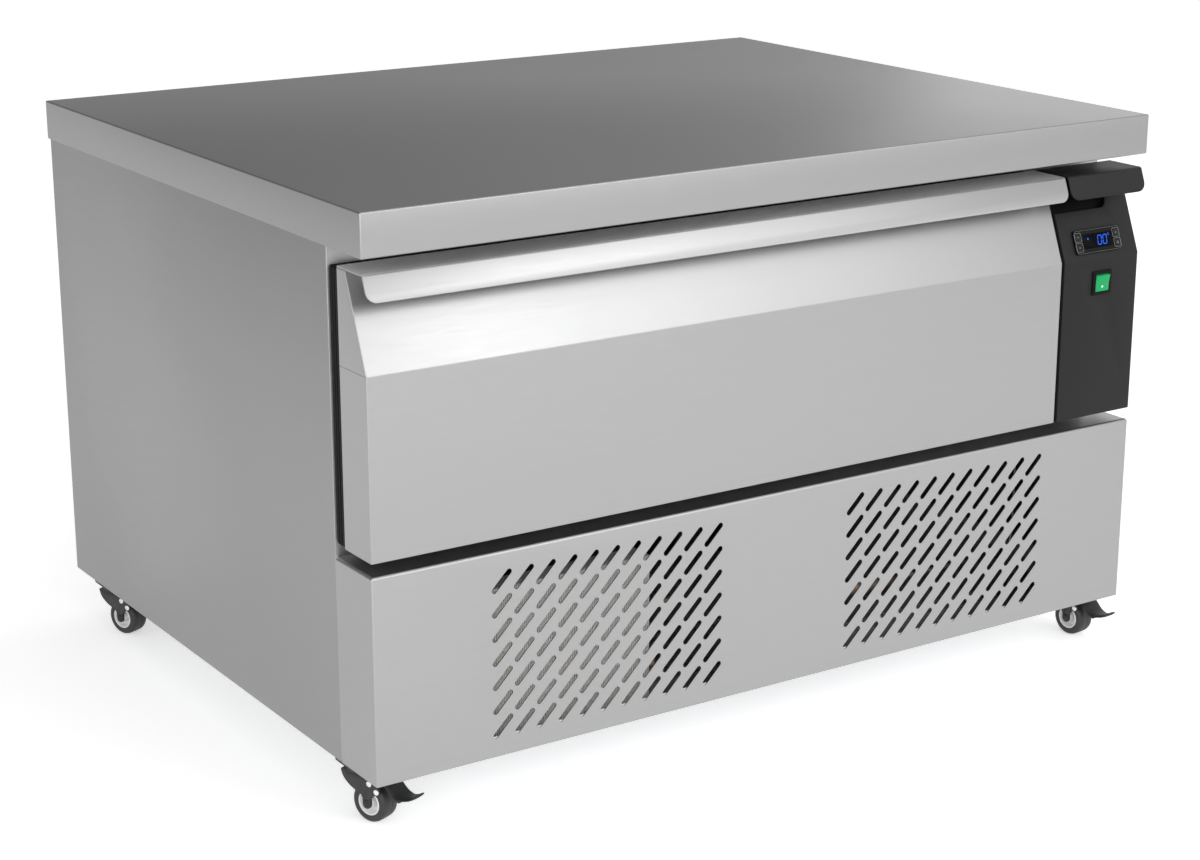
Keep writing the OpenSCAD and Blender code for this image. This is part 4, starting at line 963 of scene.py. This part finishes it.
# %% Wheel
side = [(RIM_R, 9.6), (RIM_R + 1.2, 10), (15.6, 10), (17.2, 9.4), (18.4, 8.2), (18.85, 6.6),
        (18.95, 3), (19, 0.4), (18.85, 0.2)]
tread = [(r, -h) for r, h in side] + side[::-1] + [(RIM_R, -9.6)]
tyre = turned("tyre", tread, AXLE, (1, 0, 0), 72)
to_corners(ease(tyre, 0), tyre_rubber, "castor_wheel", "tyre")
half = [(3.1, 10), (5, 10), (5.2, 9.2), (5.2, 4.4), (6.4, 3), (9, 2.8), (9.6, 4), (9.9, 9),
        (10.4, 9.9), (11.4, 10), (12, 9.5)]
dish = half + [(r, -h) for r, h in reversed(half)] + [half[0]]
rim = turned("rim", dish, AXLE, (1, 0, 0), 56)
to_corners(ease(rim, 0), rim_grey, "castor_wheel", "rim")

# %% [markdown]
# The fork is pressed from one sheet: a crown plate with a cheek on each side that narrows to a
# leg at the axle. A cheek's outline is a row of points that is filled and grown to the sheet's
# thickness, once for each side.

# %% Castor fork
def outline_plate(name, points, x0, x1):
    piece = chain(name, [(x0, y, z) for y, z in points])
    bpy.ops.mesh.edge_face_add()
    bpy.ops.mesh.select_all(action="SELECT")
    bpy.ops.mesh.extrude_region_move(TRANSFORM_OT_translate={"value": ((x1 - x0) * MM, 0, 0)})
    bpy.ops.mesh.select_all(action="SELECT")
    bpy.ops.mesh.normals_make_consistent(inside=False)
    return done(piece)


def arc(centre, radius, start, end, steps):
    angles = [math.radians(start + (end - start) * k / steps) for k in range(steps + 1)]
    return [(centre[0] + radius * math.cos(t), centre[1] + radius * math.sin(t)) for t in angles]


cheek_line = [(14, 47.3), (13.6, 44.5), (12.4, 41.4), (10.2, 38.2), (7, 35.2), (3, 32.4),
              (-1.5, 30), (-6, 28.2), (-8.6, 27), (-10.3, 24.6)]
cheek_line += arc((-15, 19), 4.6, 0, -180, 8) + [(-19.6, 25), (-21.5, 28), (-27, 30.4)]
cheek_line += arc((-27.8, 33), 2.4, -100, -180, 3) + [(-29.8, 37), (-25.5, 45.5), (-24, 47.3)]
cheeks = [outline_plate("cheek", cheek_line, x, x + 1.8) for x in (-CHEEK, CHEEK - 1.8)]
crown = block("crown", (-CHEEK, -24, 45.3), (CHEEK, 14, 47.3))
fold(crown, lambda m, d: abs(d.y) > 0.9 and m.z > 47, 1.4, 4)
fork = join_shape(crown, merge("cheeks", cheeks))
join_shape(fork, drum("kingpin", (0, 0, 46.5), (0, 0, 53.7), 8))
cap = [(0, 14), (2.2, 14), (3.4, 13.7), (4.4, 13), (4.5, 12.55), (3, 12.5)]
axle_line = cap + [(r, -h) for r, h in reversed(cap)]
ease(fork, 0.35, 2, 50)
fork = merge("fork", [fork, ease(turned("axle", axle_line, AXLE, (1, 0, 0), 32), 0)])
to_corners(fork, castor_black, "castor_fork", "fork")

# %% [markdown]
# Two zinc rivets show on each cheek, each with a small dimple. One is the end of the pedal's
# pin, the other holds the spring plate.

# %% Rivets
head = [(0, 0.55), (0.8, 0.6), (1.1, 1.15), (2.1, 1.2), (2.75, 0.75), (2.95, 0), (0, 0)]
rivets = [turned("rivet", head, (side * (CHEEK - 0.02), y, z), (side, 0, 0), 24)
          for y, z in ((-18.5, 39.6), (-26.6, 33.4)) for side in (-1, 1)]
to_corners(ease(merge("rivets", rivets), 0), rivet_zinc, "castor_fork")

# %% [markdown]
# The brake pedal is a broad tongue that leaves the fork, dips to a hollow for the toe and turns
# up at its round tip. A strip grows from the pin, one length at a time, gets its sides turned
# down, its tip corners rounded, and then its thickness.

# %% Brake pedal
path = [(-11, 45.6), (-20, 45.9), (-30, 45.2), (-36, 41.5), (-41, 35.2), (-46, 31.4),
        (-52, 30), (-58, 31.2), (-63, 33.6), (-66.5, 36.4)]
PEDAL_HALF = 9.9
pedal = done(chain("pedal", [(x, *path[0]) for x in (-PEDAL_HALF, PEDAL_HALF)]))
for (y0, z0), (y1, z1) in zip(path, path[1:]):
    pull_edges(pedal, lambda m, d: abs(d.x) > 0.9 and abs(m.y - y0) < 0.1, (0, y1 - y0, z1 - z0))
work(pedal, "EDGE", lambda m, d: abs(d.x) > 0.9 and -60 < m.y < -38,
     bpy.ops.transform.resize, value=(1.05, 1, 1))
for side in (-1, 1):
    pull_edges(pedal, lambda m, d: side * m.x > 5 and m.y > -50 and abs(d.x) < 0.5,
               (side * 0.4, 0, -2.6))
round_corners(pedal, lambda p: p.y < -66, 7.5, 6)
everything(pedal)
bpy.ops.mesh.normals_make_consistent(inside=False)
done(pedal)
thicken(pedal, 3.0, 0)
modify(pedal, "SUBSURF", levels=2, render_levels=2)
bpy.ops.object.shade_smooth()
pin = drum("pin", (-CHEEK, -12, 43.9), (CHEEK, -12, 43.9), 4)
to_corners(merge("pedal", [pedal, ease(pin, 0)]), castor_black, "castor_pedal", "pedal")

# %% [markdown]
# The plates and races that the forks turn in have their form already, so a merged copy with
# eased edges is enough.

# %% Castor plates
refined("castor_plates", castor_black, 0.4)

# %% [markdown]
# With the drawer open, its inside shows: the inner skin with a shallow raised field, the rubber
# gasket with its bellows, the frame that carries the pans, and the runners. The gasket is drawn
# a little wider than its node, so that it shows as a black strip beside the drawer.

# %% Drawer inside
low, high = span("drawer_inner_skin")
skin = block("inner_skin", low, high)
MARGIN, PAN_FRAME = 32, 46
work(skin, "FACE", lambda c, n: n.y > 0.9, bpy.ops.mesh.inset, thickness=MARGIN * MM)
shift(skin, lambda p: high.z - 40 < p.z < high.z - 20 and p.y > high.y - 0.1, (0, 0, -PAN_FRAME))
middle = (low.z + high.z - PAN_FRAME) / 2
work(skin, "FACE", lambda c, n: n.y > 0.9 and abs(c.z - middle) < 12,
     bpy.ops.mesh.inset, thickness=2.5 * MM, depth=1.5 * MM)
shift(skin, lambda p: p.y < low.y + 0.1, (0, -2.5, 0))
dress(ease(skin, 0.6, 3, 20), steel_inside, "drawer_inner_skin", body="drawer")

WIDER, RING = 5.5, 23.5
ends = Vector((0, 3, 0))
low, high = span("drawer_gasket")
grown = Vector((1, 0, 1))
low, high = low - WIDER * grown, high + WIDER * grown
gasket = block("gasket_ring", low, high)
fold(gasket, lambda m, d: m.y > high.y - 0.1 or abs(d.y) > 0.9, 3, 4)
for depth in (5.0, 9.5):
    ring = block("bellows", low - 3 * grown + Vector((0, depth, 0)),
                 (high.x + 3, low.y + depth + 1.6, high.z + 3))
    carve(ring, block("core", low + 2.2 * grown, high - 2.2 * grown))
    carve(gasket, ring)
carve(gasket, block("middle", low + RING * grown - ends, high - RING * grown + ends))
dress(ease(gasket, 0.3, 2), rubber, "drawer_gasket", body="drawer")
refined("drawer_frame", steel_inside, 0.5, "drawer")
for node, body in (("runner_inners", "drawer"), ("runner_middles", "middle_runners"),
                   ("runner_outers", "cabinet")):
    refined(node, zinc_steel, 0.25, body)

# %% [markdown]
# The cold space is a liner with coved corners, so that it can be wiped clean. At its right the
# duct sheet covers the evaporator, with slots for the air that returns and a wire guard over
# the fan.

# %% Inner liner and air duct
low, high = span("inner_liner")
LINER_Z, LINER_T = 290, 0.8
SPOUT = (372, 230)
liner = block("liner_box", (low.x, low.y, LINER_Z - LINER_T), high)
join_shape(liner, drum("spout", (*SPOUT, 238), (*SPOUT, LINER_Z), 16))
inner = block("hollow", (low.x + LINER_T, low.y - 20, LINER_Z), high - Vector((1, 1, 1)) * LINER_T)
fold(inner, lambda m, d: True, 7, 5)
carve(liner, inner)
carve(liner, drum("drain", (*SPOUT, 230), (*SPOUT, LINER_Z + 8), 13))
carve(liner, drum("pipe_hole", (372, 60, LINER_Z - 3), (372, 60, LINER_Z + 8), 34))
dress(ease(liner, 0), steel_inside, "inner_liner")

FAN = Vector((317.5, -120, 358))
refined("evaporator_cover", steel_inside, 0.2)
wires = []
for radius in (12, 24, 36, 48, 56):
    angles = [t * math.pi / 24 for t in range(48)]
    circle = [FAN + Vector((-1.5, radius * math.cos(t), radius * math.sin(t))) for t in angles]
    wires.append(pipe("guard", circle, 1.6, closed=True))
spoke = drum("spoke", FAN + Vector((-0.8, 0, 10)), FAN + Vector((-0.8, 0, 60)), 1.8, 12)
wires.append(around(spoke, "spokes", 6, (1, 0, 0), FAN))
dress(merge("fan_guard", wires), zinc_steel)

# %% [markdown]
# A coil block is a stack of thin fins on tubes. One fin is modelled and an array repeats it.
# Round holes would never show, so the tubes simply pass through. The tubes end in hairpins.

# %% Condenser and evaporator
def hairpin(centre, along, up, rise, d):
    centre, along, up = Vector(centre), Vector(along), Vector(up)
    route = [centre - up * rise / 2 - along * 4]
    route += [centre + (along * math.cos(t) + up * math.sin(t)) * rise / 2 for t in
              (math.radians(-90 + 180 * k / 12) for k in range(13))]
    return pipe("hairpin", route + [centre + up * rise / 2 - along * 4], d, 0.1)


def coil(name, low, high, along, pitch, fin_t, tube_rows, hairpins):
    low, high, along = Vector(low), Vector(high), Vector(along)
    flat = Vector((1, 1, 1)) - along
    count = int((high - low).dot(along) / pitch)
    fin = block("fin", low, low + (high - low) * flat + along * fin_t)
    parts = [row(fin, count, along * pitch)]
    for spot in tube_rows:
        a = low * along + Vector(spot) * flat
        parts.append(drum("tube", a, a + (high - low) * along, 8, 16))
    for plate_at in (low - along * 1.5, low + (high - low) * along):
        end = block("end_plate", plate_at, plate_at + (high - low) * flat + along * 1.5)
        parts.append(ease(end, 0.3))
    return merge(name, parts + hairpins)


X, Y, Z = Vector((1, 0, 0)), Vector((0, 1, 0)), Vector((0, 0, 1))
low, high = span("condenser_coil")
fin_low, fin_high = Vector((-338, low.y, low.z)), Vector((-142, high.y, high.z))
mid_y = (low.y + high.y) / 2
turns = [hairpin((-339.5, mid_y, low.z + 32.56 * k), -X, Z, 32.56, 9) for k in (1, 3)]
tubes = [(0, y, low.z + 16 + 24 * k) for k in range(6) for y in (mid_y - 7, mid_y + 7)]
condenser = coil("condenser_block", fin_low, fin_high, X, 2.0, 1.2, tubes, turns)
dress(condenser, fins, "condenser_coil")
low, high = span("evaporator_coil")
fin_low, fin_high = Vector((336.5, 91.5, low.z)), Vector((high.x, 288.5, high.z))
mid_x, rise = fin_low.x + 31, (high.z - low.z) * 0.22
turns = [hairpin((mid_x, 290, low.z + (1 + 2 * k) * rise), Y, Z, rise, 9) for k in (0, 1)]
tubes = [(x, 0, low.z + 16 + 24 * k) for k in range(5) for x in (mid_x - 15, mid_x + 15)]
evaporator = coil("evaporator_block", fin_low, fin_high, Y, 4.0, 0.5, tubes, turns)
feet = [block("bracket", (318.5, y, low.z), (337, y + 1.5, high.z)) for y in (90, 288.5)]
dress(merge("evaporator_block", [evaporator] + feet), fins, "evaporator_coil")

# %% [markdown]
# Each fan is a turned hub with five blades. A blade is a flat grid whose columns are turned
# more and more flat towards the tip, which gives the twist, and then it gets its thickness.

# %% Fans
def fan(name, d, hub_d, hub_len):
    hub_r, end = hub_d / 2, hub_len / 2
    hub_line = [(0, end - 1), (hub_r - 6, end), (hub_r - 2, end - 0.6), (hub_r, end - 3),
                (hub_r, -end), (hub_r - 2, -end), (hub_r - 2, end - 4), (0, end - 4)]
    hub = turned("hub", hub_line, (0, 0, 0), sides=40)
    root, tip = hub_r - 1.5, d / 2 - 3
    bpy.ops.mesh.primitive_grid_add(x_subdivisions=8, y_subdivisions=6, size=MM)
    blade = bpy.context.object
    blade.scale = (tip - root, d * 0.34, 1)
    place(blade, ((root + tip) / 2, 0, 0))
    for k in range(9):
        x = root + (tip - root) * k / 8
        work(blade, "VERT", lambda p: abs(p.x - x) < 0.2, bpy.ops.transform.rotate,
             value=-math.radians(26 - 9 * k / 8), orient_axis="X", center_override=(x * MM, 0, 0))
    for sign in (1, -1):
        round_corners(blade, lambda p: p.x > tip - 0.5 and sign * p.y > d * 0.15, d * 0.07, 4)
    thicken(blade, 1.6, 0)
    bpy.ops.object.shade_smooth_by_angle(angle=math.radians(40))
    return merge(name, [ease(hub, 0), around(blade, "blades", 5)])


for which, sizes, spot, turn in (
        ("condenser", (128, 43.5, 16), (-240, -280.4, 131), (math.pi / 2, 0, 0)),
        ("evaporator", (100, 34, 16), FAN + 11 * X, (0, -math.pi / 2, 0))):
    wheel = place(fan(f"{which}_fan_wheel_blades", *sizes), spot, turn)
    dress(wheel, fan_plastic, f"{which}_fan", body=f"{which}_fan_wheel")
refined("fan_motors", motor_grey, 0.6)
refined("fan_shroud", fan_plastic, 0.4)

# %% [markdown]
# The compressor is a deep-drawn shell: a turned outline with the weld belt round its middle and
# a domed top. It stands on a pressed foot plate over four grooved rubber mounts.

# %% Compressor
COMP = Vector((110, 60, 0))
shell_line = [(0, 72.6), (60, 72.2), (68, 74.5), (72.5, 80), (73.4, 90), (73.4, 118), (75, 119),
              (75, 124.5), (73.4, 125.5), (73.4, 160), (71.5, 171), (66, 181), (56, 188),
              (42, 192.6), (26, 195.4), (0, 196.6)]
shell = ease(turned("compressor_shell", shell_line, COMP, sides=72), 0)
plate = soft_pad("foot_plate", 186, 146, 69.5, 72, 14, COMP[:2])
fold(plate, lambda m, d: m.z > 71.9, 0.8, 2)


def beside(x, y, z):
    return COMP + Vector((x, y, z))


cover = block("terminal_cover", beside(-23, -99, 74.5), beside(23, -60, 126.5))
fold(cover, lambda m, d: m.y < -38, 4, 4)
carve(cover, block("seam", beside(-24, -80.5, 70), beside(24, -79.5, 74.9)))
stubs = [drum("stub", beside(side * 70, 0, z), beside(side * 85, 0, z), 8, 24)
         for side, z in ((1, 130), (-1, 150))]
compressor = merge("compressor_body", [shell, ease(plate, 0), ease(cover, 0.3)] + stubs)
dress(compressor, black_enamel, "compressor")
groove = [(0, 0), (13, 0), (13, 4), (11, 5), (11, 8.5), (13, 9.5), (13, 13), (12, 14), (0, 14)]
mounts = [turned("mount", groove, beside(sx * 76, sy * 56, 55.5), sides=32)
          for sx in (-1, 1) for sy in (-1, 1)]
dress(ease(merge("rubber_mounts", mounts), 0), rubber, "compressor_mounts")

# %% [markdown]
# The copper pipes are bent with a small radius and brazed to their neighbours with short
# sleeves. The drier in the liquid line is a spun capsule.

# %% Refrigerant pipes
COIL_TALL = 204
suction_z = LINER_Z + 3 * 0.07 * COIL_TALL
liquid_z = suction_z + 2 * 0.07 * COIL_TALL
SUCTION, LIQUID, COIL_INLET = (363, 60), (381, 60), (-140.5, -305.4)
routes = [
    [(363, 91, suction_z), (*SUCTION, suction_z), (*SUCTION, 130), (195, 60, 130)],
    [(381, 91, liquid_z), (*LIQUID, liquid_z), (*LIQUID, 225), (381, -250, 225),
     (381, -250, 90), (-122.5, -250, 90), (-122.5, -305.4, 90), (*COIL_INLET, 90)],
    [(25, 60, 150), (-104.5, 60, 150), (-104.5, -305.4, 150), (*COIL_INLET, 150)],
]
pipes = [pipe("tube", route, 8, 13) for route in routes]
for a, b in (((185, 60, 130), (199, 60, 130)), ((21, 60, 150), (35, 60, 150)),
             ((112, -250, 90), (126, -250, 90)), ((214, -250, 90), (228, -250, 90)),
             ((363, 92, suction_z), (363, 80, suction_z)),
             ((381, 92, liquid_z), (381, 80, liquid_z)),
             ((-128, -305.4, 90), (*COIL_INLET, 90)), ((-128, -305.4, 150), (*COIL_INLET, 150))):
    pipes.append(ease(drum("sleeve", a, b, 10.4, 24), 0.8))
shoulder = [(0, 0), (5, 0), (5.2, 4), (8, 9), (10, 14)]
capsule = shoulder + [(r, 100 - h) for r, h in reversed(shoulder)]
pipes.append(ease(turned("drier", capsule, (120, -250, 90), X, 32), 0))
dress(merge("copper_pipes", pipes), copper, "refrigerant_pipes")
sleeve_line = [(4.15, 0), (6.4, 0), (6.8, 0.6), (6.8, 109.4), (6.4, 110), (4.15, 110), (4.15, 0)]
sleeve = ease(turned("riser_sleeve", sleeve_line, (381, -250, 102), sides=28), 0)
dress(sleeve, rubber)
thin_route = [(375.5, -254, 214), (375.5, -254, 112), (370, -254, 96), (340, -254, 96)]
dress(pipe("capillary_tube", thin_route, 2.2, 6), zinc_steel)

# %% [markdown]
# The last pieces are the electrical box with its lid, the mains inlet, the drip tray and the
# screws. The screws at the back have a cross recess.

# %% Electrical box, inlet, tray and screws
low, high = span("electrical_box")
box = block("electrical_case", low, high)
fold(box, lambda m, d: m.y < high.y - 1, 4, 4)
seam_y = low.y + 12
ring = block("seam", (low.x - 2, seam_y, low.z - 2), (high.x + 2, seam_y + 0.8, high.z + 2))
carve(ring, block("core", low + Vector((0.8, -50, 0.8)), high + Vector((-0.8, 50, -0.8))))
carve(box, ring)
for x in (low.x + 9, high.x - 9):
    for z in (low.z + 9, high.z - 9):
        carve(box, drum("screw_well", (x, low.y - 1, z), (x, low.y + 3, z), 7, 20))
dress(ease(box, 0.3), grey_plastic, "electrical_box")
refined("mains_inlet", bezel_black_and_painted_shade, 0.35)
low, high = span("drip_tray")
tray = block("drip_pan", low, high)
fold(tray, lambda m, d: m.z < high.z - 1, 7, 5)
basin = block("hollow", low + Vector((2, 2, 2)), high + Vector((-2, -2, 10)))
fold(basin, lambda m, d: m.z < high.z - 1, 5, 5)
carve(tray, basin)
dress(ease(tray, 0.4), fan_plastic, "drip_tray")

screws = refined("screws", zinc_steel, 0.25)
low, high = span("back_panel")
for x in (-436.3, 436.3):
    for z in (83.5, 240):
        bars = [block("bar", (x - wide, high.y + 0.5, z - tall), (x + wide, high.y + 3, z + tall))
                for wide, tall in ((1.9, 0.35), (0.35, 1.9))]
        carve(screws, join_shape(*bars))
ease(screws, 0)

# %% [markdown]
# The board under the worktop and the foam in the walls and the drawer stay as the frame made
# them, and only get their real materials.

# %% Materials of the carried-over nodes
for node, material in (("worktop_core", board), ("insulation", foam), ("drawer_foam", foam)):
    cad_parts[node].data.materials.clear()
    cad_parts[node].data.materials.append(material)
left_bare = [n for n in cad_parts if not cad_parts[n].data.materials]
print("Nodes without a material:", left_bare)
